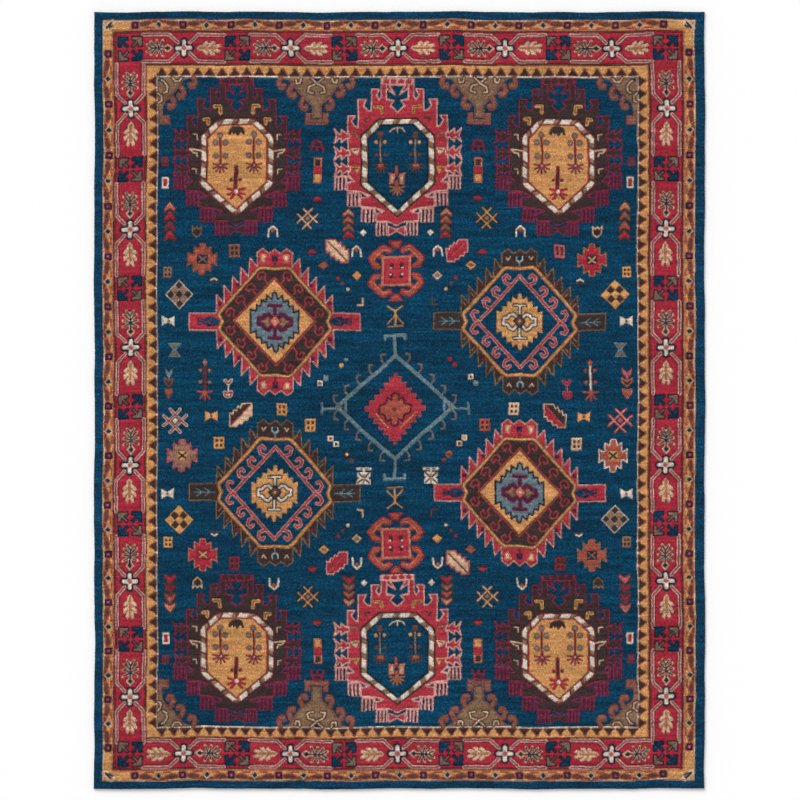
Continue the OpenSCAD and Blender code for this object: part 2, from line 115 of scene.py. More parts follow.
YARNS = {
    "navy": (0, 54, 80),
    "edge navy": (4, 54, 82),
    "ink": (22, 38, 58),
    "dark brown": (56, 44, 43),
    "brown": (92, 62, 54),
    "tan": (138, 104, 84),
    "khaki": (124, 96, 74),
    "gold": (197, 141, 87),
    "amber": (170, 108, 73),
    "clay": (129, 82, 70),
    "cream": (204, 167, 136),
    "bone": (210, 195, 178),
    "pale pink": (207, 147, 138),
    "rose": (176, 84, 88),
    "red": (160, 39, 55),
    "light red": (165, 48, 61),
    "maroon": (116, 40, 48),
    "magenta": (120, 40, 62),
    "rust": (160, 79, 63),
    "salmon": (192, 111, 88),
    "grey blue": (97, 120, 128),
    "sky": (97, 114, 123),
    "plum": (74, 34, 62),
}
YARN_NUMBER = {name: number for number, name in enumerate(YARNS)}


# ---- Places and the shapes drawn there ---------------------------------------------------------

class Place:
    """A motif's own axes: millimetres right and up from its middle, mirrored and turned as asked.

    Shapes are drawn on the cloth in one yarn each, over what is there already.
    """

    def __init__(self, x, y, matrix=((1, 0), (0, 1))):
        self.middle = np.array([x, y], float)
        self.matrix = np.array(matrix, float)

    def on_rug(self, points):
        return np.array(points, float).reshape(-1, 2) @ self.matrix.T + self.middle

    def scaled(self, x, y):
        return Place(*self.middle, self.matrix @ np.diag([x, y]))

    def turned(self, times):
        """Turned by quarters, counter-clockwise."""
        quarter = np.array([[0, -1], [1, 0]])
        return Place(*self.middle, self.matrix @ np.linalg.matrix_power(quarter, times % 4))

    def at(self, x, y):
        return Place(*self.on_rug([(x, y)])[0], self.matrix)

    def fill(self, yarn, outline):
        points = self.on_rug(outline)
        window = cloth.window(points, 0)
        x = cloth.x[window]
        y = cloth.y[window]
        inside = np.zeros(x.shape, bool)
        for (x0, y0), (x1, y1) in zip(points, np.roll(points, -1, axis=0)):
            if y0 != y1:
                inside ^= ((y0 > y) != (y1 > y)) & (x < (x1 - x0) * (y - y0) / (y1 - y0) + x0)
        cloth.yarn[window][inside] = YARN_NUMBER[yarn]

    def line(self, yarn, route, width):
        points = self.on_rug(route)
        for start, end in zip(points, points[1:]):
            window = cloth.window(np.array([start, end]), width)
            x = cloth.x[window] - start[0]
            y = cloth.y[window] - start[1]
            dx, dy = end - start
            share = np.clip((x * dx + y * dy) / max(dx * dx + dy * dy, 1e-9), 0, 1)
            near = (x - share * dx) ** 2 + (y - share * dy) ** 2 < width * width / 4
            cloth.yarn[window][near] = YARN_NUMBER[yarn]

    def cased(self, yarn, width, casing, whole, *routes):
        """Lines of one yarn that run on wider lines of another."""
        for route in routes:
            self.line(casing, route, whole)
        for route in routes:
            self.line(yarn, route, width)

    def edged(self, yarn, edge_yarn, outline, edge):
        """An area with a line of another yarn along its rim."""
        self.fill(yarn, outline)
        self.line(edge_yarn, list(outline) + [outline[0]], edge)

    def box(self, yarn, x, y, width, height):
        w = width / 2
        h = height / 2
        self.fill(yarn, [(x - w, y - h), (x + w, y - h), (x + w, y + h), (x - w, y + h)])

    def diamond(self, yarn, x, y, width, height):
        w = width / 2
        h = height / 2
        self.fill(yarn, [(x, y - h), (x + w, y), (x, y + h), (x - w, y)])

    def spots(self, yarn, diameter, *middles):
        for middle in middles:
            self.line(yarn, [middle, middle], diameter)

    def blocks(self, yarn, route, width, block, gap):
        """Even blocks with slanting ends along a closed route."""
        points = np.array(list(route) + [route[0]], float)
        ends = np.concatenate([[0], np.cumsum(np.hypot(*np.diff(points, axis=0).T))])
        count = round(ends[-1] / (block + gap))
        pitch = ends[-1] / count
        for i in range(count):
            outline = []
            for side, slant in ((1, width * 0.5), (-1, 0)):
                marks = i * pitch + slant + np.linspace(0, pitch * block / (block + gap), 5)[::side]
                here, ahead = (np.stack([np.interp((marks + step) % ends[-1], ends, points[:, axis])
                                         for axis in (0, 1)], -1) for step in (0, 1))
                normal = (ahead - here)[:, ::-1] * (-1, 1)
                outline += list(here + normal * side * width / 2)
            self.fill(yarn, outline)


def both_sides(place):
    return [place, place.scaled(-1, 1)]


def both_ends(place):
    return [place, place.scaled(1, -1)]


def quarters(place):
    return [p for side in both_sides(place) for p in both_ends(side)]


def middle_of(box):
    """The place in the middle of a flat box."""
    return Place((box[0] + box[2]) / 2, (box[1] + box[3]) / 2)


def both_halves(half):
    """A whole outline from its right half, listed from top to bottom."""
    return list(half) + [(-x, y) for x, y in reversed(half) if x > 0]


def four_ways(quarter):
    """A whole outline from its upper right quarter."""
    return both_halves(list(quarter) + [(x, -y) for x, y in reversed(quarter) if y > 0])


# ---- The drawing cloth -----------------------------------------------------------------------

class Cloth:
    """The rug from above, with one yarn number for each fine cell."""

    def __init__(self, box):
        self.left, self.foot, self.right, self.head = box
        self.cell = TUFT / FINE
        self.columns = round((self.right - self.left) / TUFT)
        self.rows = round((self.head - self.foot) / TUFT)
        x = self.left + self.cell * (np.arange(self.columns * FINE) + 0.5)
        y = self.foot + self.cell * (np.arange(self.rows * FINE) + 0.5)
        self.x, self.y = np.meshgrid(x, y)
        self.x = self.x + self.stray(70)
        self.y = self.y + self.stray(110)
        self.yarn = np.zeros(self.x.shape, np.uint8)

    def stray(self, reach):
        """Smooth random values: broad ones that change over a reach in millimetres, and small ones."""
        broad = smooth_noise(self.x.shape, reach / self.cell)
        return DRIFT * broad + WOBBLE * smooth_noise(self.x.shape, WOBBLE_REACH / self.cell)

    def window(self, points, margin):
        """The rows and columns of the cells that a shape with these points can reach."""
        low = points.min(0) - margin - 3 * DRIFT
        high = points.max(0) + margin + 3 * DRIFT
        columns = [int((v - self.left) / self.cell) for v in (low[0], high[0])]
        rows = [int((v - self.foot) / self.cell) for v in (low[1], high[1])]
        return slice(max(rows[0], 0), rows[1] + 2), slice(max(columns[0], 0), columns[1] + 2)


def smooth_noise(shape, reach):
    """Random values on a coarse grid, eased up to the full shape."""
    coarse = rng.uniform(-1, 1, [int(size / reach) + 3 for size in shape])
    row, column = (np.arange(size) / reach for size in shape)
    r = row.astype(int)
    c = column.astype(int)
    down = (row - r)[:, None]
    across = (column - c)[None, :]
    down = down * down * (3 - 2 * down)
    across = across * across * (3 - 2 * across)
    near = coarse[r][:, c] * (1 - across) + coarse[r][:, c + 1] * across
    far = coarse[r + 1][:, c] * (1 - across) + coarse[r + 1][:, c + 1] * across
    return near * (1 - down) + far * down


# ==== PATTERN =================================================================================

field_left, field_foot, field_right, field_head = flat_box("field_pile")
LOZENGE = middle_of(flat_box("lozenge_star"))
AXIS_X = middle_of(flat_box("red_shields")).middle[0]
AXIS_Y = LOZENGE.middle[1]
CRAB_HALF = 112  # from a crab's middle to its head or foot
CRAB_BOX = flat_box("crab_motifs")
CRAB_REACH = (CRAB_BOX[3] - CRAB_BOX[1]) / 2 - CRAB_HALF  # from the rug's middle to a crab's

cloth = Cloth(flat_box("edge_band_pile"))

# ---- Shields ---------------------------------------------------------------------------------
# Every point is measured from a shield's own middle, which lies about SHIELD_TOP below its top.

SHIELD_TOP = 322
SHIELD_FOOT = 275  # from a shield's own middle down to the end of its hatched blocks
SHIELD_BODY = [(62, 322), (62, 256), (70, 242), (80, 262), (70, 284), (98, 284), (98, 202), (114, 205),
               (128, 222), (118, 245), (147, 245), (147, 140), (160, 145), (173, 165), (160, 183),
               (187, 183), (187, -36), (163, -62), (187, -68), (187, -96), (139, -99), (104, -114),
               (138, -124), (138, -156), (85, -160), (50, -172), (80, -182), (80, -208), (34, -210),
               (0, -226)]
SHIELD_WINDOW = [(30, 299), (10, 264), (42, 288), (42, 248), (12, 240), (27, 222), (0, 196)]
SHIELD_RING = [(70, 172), (137, 108), (139, -74), (0, -194)]
SHIELD_RING_MIDDLE = [(64, 161), (126, 102), (126, -68), (0, -180)]
SHIELD_CENTRE = [(60, 150), (112, 98), (112, -64), (0, -167)]
FRINGE = [(180, 10), (192, 9), (212, 25), (212, 9), (219, 8), (238, 28), (230, 2), (238, -24), (219, -6),
          (212, -7), (212, -22), (192, -7), (180, -8)]


def shield_hatch(place, x, y, width, height, light, dark):
    """A block of upright stripes."""
    place.box(light, x, y, width, height)
    for i in range(3):
        place.box(dark, x + width * (i - 1) * 0.29, y - 3, width * 0.135, height * 0.86)


def shield_body(place, body, edge, hatch, ground):
    """The stepped body with its uprights, fringes and hatched blocks."""
    place.edged(body, edge, both_halves(SHIELD_BODY), 6)
    for side in both_sides(place):
        for height in (108, 44, -16):
            side.at(0, height).edged(body, edge, FRINGE, 6)
        side.line(edge, [(187, 183), (187, 132)], 6)
        for x, y, width in ((214, -66, 46), (164, -128, 48), (111, -187, 50), (57, -236, 46)):
            shield_hatch(side, x, y, width, 54, edge, hatch)
        for x, y in ((190, -52), (137, -110), (84, -168)):
            side.at(x, y).edged(ground, edge, [(-28, -10), (0, 10), (0, -12)], 5)
        side.fill(ground, [(4, -232), (16, -218), (30, -214), (30, -228)])
        side.edged(body, edge, [(0, -240), (30, -228), (30, -262), (0, -246)], 5)
        side.line(edge, [(42, 300), (42, 244), (12, 240)], 6)
    for i in range(-4, 5):
        place.box(edge if i % 2 == 0 else body, i * 14, SHIELD_TOP - 10, 8, 20)
    place.line(edge, [(-58, 303), (58, 303)], 5)
    place.edged(ground, edge, both_halves(SHIELD_WINDOW), 6)


def shield_ring(place, dash_yarn, gap_yarn, rim, centre, centre_rim):
    place.edged(gap_yarn, rim, both_halves(SHIELD_RING), 5)
    place.blocks("tan", both_halves(SHIELD_RING_MIDDLE), 16, 52, 8)
    place.blocks(dash_yarn, both_halves(SHIELD_RING_MIDDLE), 18, 36, 24)
    place.edged(centre, centre_rim, both_halves(SHIELD_CENTRE), 5)


def brown_shield(place):
    shield_body(place, "dark brown", "magenta", "plum", "navy")
    shield_ring(place, "bone", "brown", "maroon", "gold", "red")
    place.fill("dark brown", [(-33, 116), (-28, 134), (-16, 144), (8, 145), (22, 138), (28, 114), (20, 112),
                              (14, 124), (8, 116), (0, 106), (-6, 120), (-14, 112), (-18, 124), (-24, 112)])
    for side in both_sides(place):
        side.cased("brown", 3, "gold", 14, [(84, 220), (64, 220), (62, 194)],
                   [(124, 170), (108, 172), (108, 154)])
        side.line("cream", [(150, 96), (150, 114), (164, 116)], 5)
        side.line("cream", [(138, 54), (178, 60), (166, 46), (152, 44), (150, 32)], 6)
        side.line("cream", [(152, -32), (153, -16), (168, -14)], 5)
        post = side.at(62, 0)
        for x, y in ((0, 112), (-18, 84), (18, 84), (-18, 34), (18, 34)):
            post.spots("rust", 23, (x, y))
            post.spots("tan", 18, (x, y))
            post.spots("grey blue", 12, (x, y))
        post.line("maroon", [(0, 100), (0, -2)], 8)
        flower(post.at(0, -10), "magenta", "pale pink", 29)
    place.line("maroon", [(-3, -10), (-3, -86)], 15)
    place.line("plum", [(-3, -14), (-3, -70)], 5)
    place.spots("maroon", 13, (-19, -57), (13, -57))
    for side in both_sides(place):
        side.line("red", [(6, -96), (31, -90)], 10)
        side.line("red", [(6, -102), (31, -112)], 8)
        side.line("red", [(4, -106), (20, -126)], 10)
    place.spots("bone", 16, (0, -100))


def flower(place, petal, heart, reach):
    """A half-round flower that hangs from its stalk."""
    for angle in (170, 205, 238, 270, 302, 335, 370):
        tip = (reach * math.cos(math.radians(angle)), 8 + reach * math.sin(math.radians(angle)))
        place.line(petal, [(0, 8), tip], 6)
    place.spots(petal, 20, (0, 8))
    place.spots(heart, 9, (0, 8))


def red_shield(place):
    shield_body(place, "light red", "pale pink", "ink", "navy")
    shield_ring(place, "bone", "khaki", "dark brown", "navy", "ink")
    place.line("cream", [(-30, 124), (-20, 134), (0, 140), (18, 136), (27, 124)], 5)
    place.line("cream", [(0, 140), (0, 122)], 5)
    for side in both_sides(place):
        side.cased("brown", 3, "gold", 12, [(86, 218), (60, 216), (58, 196)])
        side.line("brown", [(104, 176), (124, 172), (118, 160)], 6)
        side.line("tan", [(150, 100), (152, 116), (176, 118)], 7)
        side.fill("cream", [(142, 64), (180, 62), (166, 42), (152, 36)])
        side.line("brown", [(152, 58), (166, 54)], 4)
        side.fill("gold", [(142, -6), (186, -6), (164, -18), (154, -36)])
        side.line("brown", [(152, -14), (170, -14)], 4)
        post = side.at(66, 0)
        post.line("tan", [(0, 96), (0, 4)], 6)
        post.box("brown", 0, 112, 20, 24)
        for x in (-17, 15):
            post.spots("gold", 14, (x, 86))
            post.spots("brown", 15, (x, 38))
        flower(post.at(0, -10), "brown", "rust", 26)
        post.box("rust", 0, -3, 24, 14)
    place.line("rust", [(-8, -8), (-6, -36)], 11)
    for side in both_sides(place.at(-4, 0)):
        side.line("salmon", [(8, -44), (28, -32)], 7)
        side.box("salmon", 19, -52, 20, 40)
        side.box("cream", 19, -50, 9, 22)
    place.at(-4, 0).line("rust", [(0, -62), (0, -84)], 12)
    flower(place.at(-2, -94), "amber", "rust", 28)
    place.at(-2, -90).spots("rust", 16, (0, 0))


# ---- Medallions ------------------------------------------------------------------------------

MEDALLION_REACH = 324  # from a medallion's middle to the end of its arm
MEDALLION_RISE = 272  # and to the top of its collar
TOOTH_TIPS = [(93, 237), (127, 202), (156, 168), (188, 134), (217, 100)]
COLLAR = ([(0, 272), (22, 256), (44, 274), (66, 258), (66, 206)]
          + [point for x, y in TOOTH_TIPS for point in ((x - 28, y - 33), (x, y))]
          + [(219, 31), (320, 31)])
MEDALLION_LINE = [(0, 199), (50, 203), (62, 196), (208, 32), (209, 24), (198, 0)]
STAR_STEPS = [(0, 113), (7, 108), (11, 86), (30, 100), (33, 76), (50, 82), (53, 58), (69, 62), (71, 37),
              (91, 44), (90, 0)]


def medallion(place, collar, collar_edge, line_shade, band):
    """Toothed collar with its arms, the double gold line and the band inside it."""
    place.edged(collar, collar_edge, four_ways(COLLAR), 5)
    outline = four_ways(MEDALLION_LINE)
    place.edged(band, line_shade, outline, 14)
    place.line("gold", outline + [outline[0]], 8)


def medallion_heart(place, bar, bar_rim, lobe, centre):
    """I-shaped bars above and below two C shapes, with a diamond between them."""
    ring = [(14, 18), (24, 28), (38, 24), (46, 14), (60, 12), (61, -10), (46, -12), (38, -24), (24, -30),
            (14, -18)]
    for yarn, wider in ((bar_rim, 8), (bar, 0)):
        for end in both_ends(place):
            end.line(yarn, [(-22, 61), (22, 61)], 6 + wider)
            end.line(yarn, [(0, 60), (0, 24)], 7 + wider)
        for side in both_sides(place):
            if wider:
                side.fill(lobe, ring)
            side.line(yarn, ring, 9 + wider)
    place.diamond(bar_rim, 0, 2, 50, 54)
    place.diamond(centre, 0, 2, 38, 42)


def red_medallion(place):
    medallion(place, "light red", "pale pink", "khaki", "dark brown")
    for end in both_ends(place):
        end.box("ink", 0, 238, 20, 22)
        end.line("maroon", [(0, 232), (0, 212)], 9)
    for quarter in quarters(place):
        quarter.edged("cream", "salmon", [(30, 250), (54, 252), (52, 228), (40, 222)], 5)
        quarter.line("salmon", [(160, 98), (176, 116)], 6)
        quarter.spots("plum", 15, (138, 138), (206, 66))
        quarter.fill("navy", [(206, 0), (222, 15), (250, 19), (264, 8), (288, 15), (288, 0)])
        quarter.fill("red", [(232, 11), (262, 0), (286, 13), (286, 4), (262, 3), (240, 3)])
        for x, y in ((42, 162), (84, 116), (122, 70), (160, 24)):
            hook = [(x - 16, y - 18), (x - 4, y - 2), (x - 10, y + 14), (x, y + 26), (x + 17, y + 22),
                    (x + 24, y + 4), (x + 13, y - 5), (x + 6, y + 6)]
            quarter.cased("rust", 4, "magenta", 10, hook)
    for size, yarn in ((173, "magenta"), (169, "rust"), (163, "magenta"), (158, "gold")):
        place.diamond(yarn, 0, 2, 1.87 * size, 2 * size)
    place.edged("sky", "ink", four_ways(STAR_STEPS), 6)
    medallion_heart(place, "plum", "magenta", "khaki", "salmon")
    place.spots("pale pink", 14, (0, 2))


def brown_medallion(place):
    medallion(place, "dark brown", "khaki", "amber", "navy")
    for end in both_ends(place):
        end.spots("grey blue", 27, (0, 234))
        end.spots("edge navy", 17, (0, 238))
        end.line("bone", [(-11, 244), (-12, 232), (0, 224), (12, 232), (11, 244)], 4)
        end.line("grey blue", [(0, 222), (0, 208)], 7)
    for quarter in quarters(place):
        quarter.line("cream", [(35, 244), (44, 232), (50, 242)], 5)
        for x, y in ((72, 204), (104, 168), (170, 96), (200, 58)):
            quarter.line("tan", [(x, y), (x + 10, y + 13)], 5)
        quarter.spots("maroon", 15, (138, 140))
        quarter.line("grey blue", [(224, 0), (300, 0)], 5)
        for x in (242, 272):
            quarter.line("grey blue", [(x, 0), (x + 20, 14)], 5)
        route = [(150, 0), (168, 10), (178, 28), (170, 42), (158, 38)]
        hooks = [[(x, y), (x + 20, y + 9), (x + 25, y + 27), (x + 12, y + 37), (x + 3, y + 28)]
                 for x, y in ((36, 138), (76, 93), (112, 52))]
        rise = [(0, 172), (154, 0)]
        quarter.cased("red", 6, "pale pink", 13, *hooks, route, rise)
    place.scaled(0.95, 0.95).fill("gold", four_ways(STAR_STEPS))
    medallion_heart(place, "bone", "ink", "gold", "brown")
    place.spots("gold", 12, (0, 2))


# ---- Lozenge in the middle -------------------------------------------------------------------

def stair_star(width, height, steps):
    """Quarter of a diamond with undercut steps for an edge, from its top to its right corner."""
    points = [(0, height), (5, height - 2), (4, height - 15)]
    for i in range(1, steps):
        x = width * i / steps
        y = height * (steps - i) / steps
        points.append((x + 4, y + 8))
        points.append((x - 1, y - 14))
    return points + [(width, 8), (width, 0)]


def lozenge(place):
    corner_x = 218
    corner_y = 194
    for quarter in quarters(place):
        for x in (38, 83, 128, 172, 212):
            y = corner_y * (1 - x / corner_x)
            hook = [(x, y), (x + 15, y + 18), (x + 16, y + 38), (x + 2, y + 40)]
            quarter.cased("grey blue", 4, "khaki", 8, hook)
        quarter.line("grey blue", [(0, corner_y), (corner_x, 0)], 15)
    for side in both_sides(place):
        side.line("grey blue", [(186, -24), (184, 22)], 10)
        side.fill("khaki", [(194, 0), (208, 8), (210, -8)])
        side.line("grey blue", [(corner_x, -5), (272, -7)], 9)
        side.line("grey blue", [(273, 16), (275, -26)], 9)
    for end in both_ends(place):
        end.line("grey blue", [(0, corner_y - 5), (0, 268)], 13)
        end.line("grey blue", [(-37, 254), (-37, 269), (38, 269), (38, 254)], 13)
    star = place.at(0, -5)
    star.edged("light red", "rose", four_ways(stair_star(113, 133, 6)), 4)
    cross = [(0, 62), (12, 58), (14, 36), (30, 44), (36, 22), (60, 14), (60, 0)]
    star.at(0, -3).edged("rust", "plum", four_ways(cross), 6)
    star.diamond("brown", -2, -3, 20, 16)
    star.line("gold", [(-72, -16), (-24, -72)], 5)
    star.line("gold", [(80, -16), (20, -76)], 5)


# ---- Stripes and guards ----------------------------------------------------------------------

def ground_stripes():
    """Nested rectangles, from the rug's edge to the field."""
    for node, yarn in (("edge_band_pile", "edge navy"), ("outer_guard_pile", "gold"),
                       ("outer_line_pile", "maroon"), ("main_border_pile", "red"),
                       ("inner_line_pile", "maroon"), ("inner_guard_pile", "gold"),
                       ("cream_line_pile", "bone"), ("field_pile", "navy")):
        left, foot, right, head = flat_box(node)
        Place(0, 0).fill(yarn, [(left, foot), (right, foot), (right, head), (left, head)])


def rim_of(node, inset):
    """The corners of a node's box, moved inwards, as a closed route."""
    left, foot, right, head = flat_box(node)
    left, foot, right, head = left + inset, foot + inset, right - inset, head - inset
    return [(left, foot), (right, foot), (right, head), (left, head), (left, foot)]


def on_stripe(box):
    """A box's place in a stripe, whose own right runs along the stripe and whose up points out."""
    place = middle_of(box)
    if place.middle[1] > field_head:
        return place
    if place.middle[1] < field_foot:
        return place.turned(2)
    return place.turned(1 if place.middle[0] < 0 else 3)


def outer_guard():
    """Pale rims, a rust vine that arches over the diamonds, and the squares and diamonds on it."""
    Place(0, 0).line("cream", rim_of("outer_guard_pile", 4), 6)
    Place(0, 0).line("salmon", rim_of("outer_line_pile", -3), 5)
    Place(0, 0).line("brown", rim_of("outer_line_pile", 2), 4)
    for box in solids("guard_diamonds"):
        place = on_stripe(box)
        vine = [(-94, -2), (-58.28, 9), (0, 13), (58.28, 9), (94, -2)]
        place.cased("brown", 4, "rust", 12, vine)
        for side in both_sides(place):
            side.line("rust", [(30, 8), (52, -1), (72, 3)], 15)
            side.line("brown", [(34, 7), (52, 1), (66, 4)], 9)
            side.line("rust", [(20, -12), (46, -11)], 6)
        place.diamond("cream", 0, 0, 32, 34)
        place.diamond("ink", 0, 0, 19, 22)
    for box in solids("guard_squares"):
        place = on_stripe(box)
        place.box("rust", 0, 0, 34, 18)
        place.box("ink", 0, 0, 25, 28)
        place.box("plum", 0, 0, 18, 22)
        place.box("rose", 0, 0, 8, 10)
    left, foot, right, head = flat_box("outer_guard_pile")
    for x, y, flip in ((left, head, 1), (right, head, -1), (left, foot, 1), (right, foot, -1)):
        corner = Place(x, y).scaled(flip, 1 if y == head else -1).at(24, -22)
        corner.line("cream", [(-12, -8), (12, 12)], 26)
        corner.line("ink", [(-9, -7), (8, 11)], 8)
        corner.line("ink", [(2, -6), (14, 2)], 6)


def inner_guard():
    """Dark teeth with a rust rim, standing on the cream line."""
    Place(0, 0).line("brown", rim_of("inner_line_pile", 3), 4)
    for box in solids("inner_guard_teeth"):
        width = max(box[2] - box[0], box[3] - box[1]) / 2
        height = min(box[2] - box[0], box[3] - box[1]) / 2
        tooth = [(-width, -height), (width, -height), (0, height)]
        on_stripe(box).line("rust", tooth, 9)
        on_stripe(box).spots("rust", 15, (0, height - 2))
        on_stripe(box).edged("dark brown", "brown", tooth, 3)


# ---- Main border -----------------------------------------------------------------------------

def arrow(place, yarn, heart):
    """A broad arrow that points right and up, away from its block's middle."""
    outline = [(4, 11), (11, 4), (29, 23), (33, 7), (45, 7), (45, 45), (7, 45), (7, 33), (23, 29)]
    place.box("red", 25, 25, 38, 38)
    place.edged(yarn, "ink", outline, 4)
    place.line(heart, [(24, 24), (37, 37)], 4)


def border_cross(place):
    for turn in range(4):
        place.turned(turn).line("ink", [(0, 0), (26, 0)], 27)
    for turn in range(4):
        place.turned(turn).line("bone", [(9, 0), (24, 0)], 15)
    place.diamond("rose", 0, 0, 21, 21)


def palmette(place):
    """A pale spray with a navy spine, whose bulb points to the cross."""
    twigs = [(-45, 13), (-32, 24), (-10, 28), (14, 28)]
    roots = [-24, -10, -2, 0]
    for side in both_ends(place):
        for (x, y), root in zip(twigs, roots):
            side.line("cream", [(root, 0), (x, y)], 10)
    place.line("cream", [(-34, 0), (34, 0)], 13)
    place.diamond("cream", 32, 0, 42, 34)
    for side in both_ends(place):
        for (x, y), root in zip(twigs, roots):
            side.line("ink", [(root, 0), (x * 0.94, y * 0.86)], 5)
    place.line("ink", [(-26, 0), (34, 0)], 5)
    place.diamond("ink", 32, 0, 22, 20)


def border_leaf(place):
    """A pale leaf with three lobes to a side and a pointed bulb towards the cross."""
    place.fill("cream", [(-48, 0), (-34, 11), (-22, 12), (-16, 22), (-4, 28), (2, 18), (14, 27), (26, 25),
                         (24, 13), (42, 17), (48, 7), (30, 0), (48, -8), (40, -18), (24, -13), (24, -25),
                         (8, -26), (2, -17), (-6, -27), (-17, -20), (-22, -12), (-34, -11)])
    place.line("amber", [(-34, 0), (24, 0)], 8)
    for x in (-8, 12):
        place.line("rose", [(x, -7), (x + 9, -15)], 3)
        place.line("rose", [(x, 7), (x + 9, 15)], 3)


def cartouche(place, half_pitch):
    """The frame round a palmette or a leaf: two pale lines with a brown one between them."""
    near = 48
    slope = half_pitch - 54
    far = half_pitch - 22
    for end in both_ends(place):
        route = [(near, 50), (slope, 50), (far, 20)]
        end.line("maroon", route, 18)
        end.cased("brown", 3.5, "pale pink", 14, route)


def border_unit(place, pitch):
    """From the middle of one block of arrows to the middle of the next."""
    half = pitch / 2
    cartouche(place, half)
    cartouche(place.at(pitch, 0).scaled(-1, 1), half)
    palmette(place.at(half - 92, 0))
    border_leaf(place.at(half + 94, 0))
    border_cross(place.at(half, 0))


def main_border():
    """A unit round each of the CAD's crosses, then the arrows of the blocks between the units."""
    for box in solids("border_crosses"):
        place = middle_of(box)
        x, y = place.middle
        if y > field_head or y < field_foot:
            pitch = PITCH_X
            place = place.turned(0 if y > 0 else 2)
        else:
            pitch = PITCH_Y
            place = place.turned(3)
        border_unit(place.at(-pitch / 2, 0), pitch)
    for node, yarn, heart in (("navy_arrows", "navy", "edge navy"), ("khaki_arrows", "khaki", "grey blue")):
        for box in solids(node):
            place = middle_of(box)
            block = nearest_block(place.middle)
            dx, dy = place.middle - block
            arrow(Place(*block).scaled(1 if dx > 0 else -1, 1 if dy > 0 else -1), yarn, heart)


CROSSES = [middle_of(box).middle for box in solids("border_crosses")]
HEAD_CROSSES = sorted(c[0] for c in CROSSES if c[1] > field_head)
SIDE_CROSSES = sorted(c[1] for c in CROSSES if c[0] < field_left and field_foot < c[1] < field_head)
PITCH_X = HEAD_CROSSES[1] - HEAD_CROSSES[0]
PITCH_Y = (SIDE_CROSSES[-1] - SIDE_CROSSES[0]) / (len(SIDE_CROSSES) - 1)


def nearest_block(point):
    """The middle of the arrow block that a point belongs to: between two crosses, or in a corner."""
    arrows = [middle_of(box).middle for node in ("navy_arrows", "khaki_arrows") for box in solids(node)]
    near = [a for a in arrows if np.abs(a - point).max() < 80]
    return np.mean([np.min(near, axis=0), np.max(near, axis=0)], axis=0)


# ---- Brackets --------------------------------------------------------------------------------

def bracket_hook(place, x, y):
    """A clay-brown hook that hangs from a bracket's edge and curls back towards it."""
    curl = [(x, y + 34), (x + 8, y + 14), (x + 2, y), (x - 10, y - 2), (x - 12, y + 6)]
    place.cased("clay", 13, "rust", 19, curl)


def scroll(place, route):
    place.cased("cream", 6, "dark brown", 13, route)


def edge_bracket(place):
    """Hangs from the cream line at y = 0, pointing down."""
    place.fill("khaki", both_halves([(132, 0), (96, -10), (58, -64), (14, -104), (14, -150), (0, -150)]))
    for side in both_sides(place):
        for x, y in ((132, -34), (94, -66), (52, -112)):
            bracket_hook(side, x, y)
        side.line("clay", [(100, -8), (60, -62), (16, -102), (16, -150)], 6)
        side.box("clay", 33, -150, 22, 38)
        scroll(side, [(58, -2), (60, -18), (74, -20), (76, -6)])
    place.box("rust", 0, -165, 90, 18)
    place.box("clay", 0, -162, 84, 16)
    place.fill("navy", [(-14, 0), (14, 0), (2, -16)])
    scroll(place, [(26, 0), (0, -22), (-28, -32), (-32, -50), (-12, -56)])
    scroll(place, [(-18, 0), (4, -22), (28, -34), (34, -54), (18, -56)])


def corner_bracket(place):
    """In a corner of the field, its own right and down pointing into the field."""
    place.fill("khaki", [(0, 0), (132, 0), (96, -14), (70, -50), (52, -70), (22, -98), (14, -150),
                         (0, -150)])
    for x, y in ((136, -34), (92, -74), (54, -112)):
        bracket_hook(place, x, y)
    place.line("clay", [(100, -10), (60, -58), (20, -98)], 6)
    place.box("rust", 23, -160, 40, 34)
    place.box("clay", 22, -160, 36, 30)
    place.box("clay", 10, -140, 14, 30)
    scroll(place, [(4, -4), (26, -16), (38, -34), (36, -52), (24, -58)])
    scroll(place, [(56, 0), (66, -16), (84, -16), (92, -4)])
    scroll(place, [(0, -58), (14, -70), (14, -88), (2, -94)])
    place.fill("navy", [(4, -2), (26, -2), (6, -16)])


# ---- Crabs and trees -------------------------------------------------------------------------

def crab(place):
    """A framed square with four dark cells and a claw at each corner, hooked at both ends."""
    for quarter in quarters(place):
        claw = [(26, 78), (48, 88), (72, 70), (94, 46), (82, 22), (66, 20)]
        for yarn, wider in (("light red", 8), ("rust", 0)):
            quarter.line(yarn, claw, 17 + wider)
            quarter.line(yarn, [(44, 46), (70, 64)], 14 + wider)
        quarter.line("salmon", [(34, 80), (50, 80), (70, 62), (84, 44)], 7)
        quarter.spots("navy", 19, (36, 60), (63, 38))
        quarter.fill("navy", [(54, 12), (68, 34), (60, 44), (54, 40)])
        quarter.fill("navy", [(14, 53), (46, 53), (36, 66), (22, 64)])
    place.edged("light red", "salmon", [(-51, -52), (51, -52), (51, 52), (-51, 52)], 10)
    for quarter in quarters(place):
        quarter.box("dark brown", 19, 19, 13, 18)
        quarter.box("bone", 23, 12, 9, 6)
    for end in both_ends(place):
        end.edged("rust", "red", [(-26, CRAB_HALF), (22, CRAB_HALF), (8, 86), (-8, 86)], 5)


def tree(place):
    """A thin gold stem with a pair of arms above and below and a short foot."""
    for side in both_sides(place):
        side.line("gold", [(0, 22), (27, 42)], 6)
        side.line("gold", [(0, 8), (30, -24)], 5)
    place.line("gold", [(0, 24), (0, -32)], 9)
    place.line("tan", [(-28, -34), (28, -34)], 8)


# ---- Filling motifs --------------------------------------------------------------------------

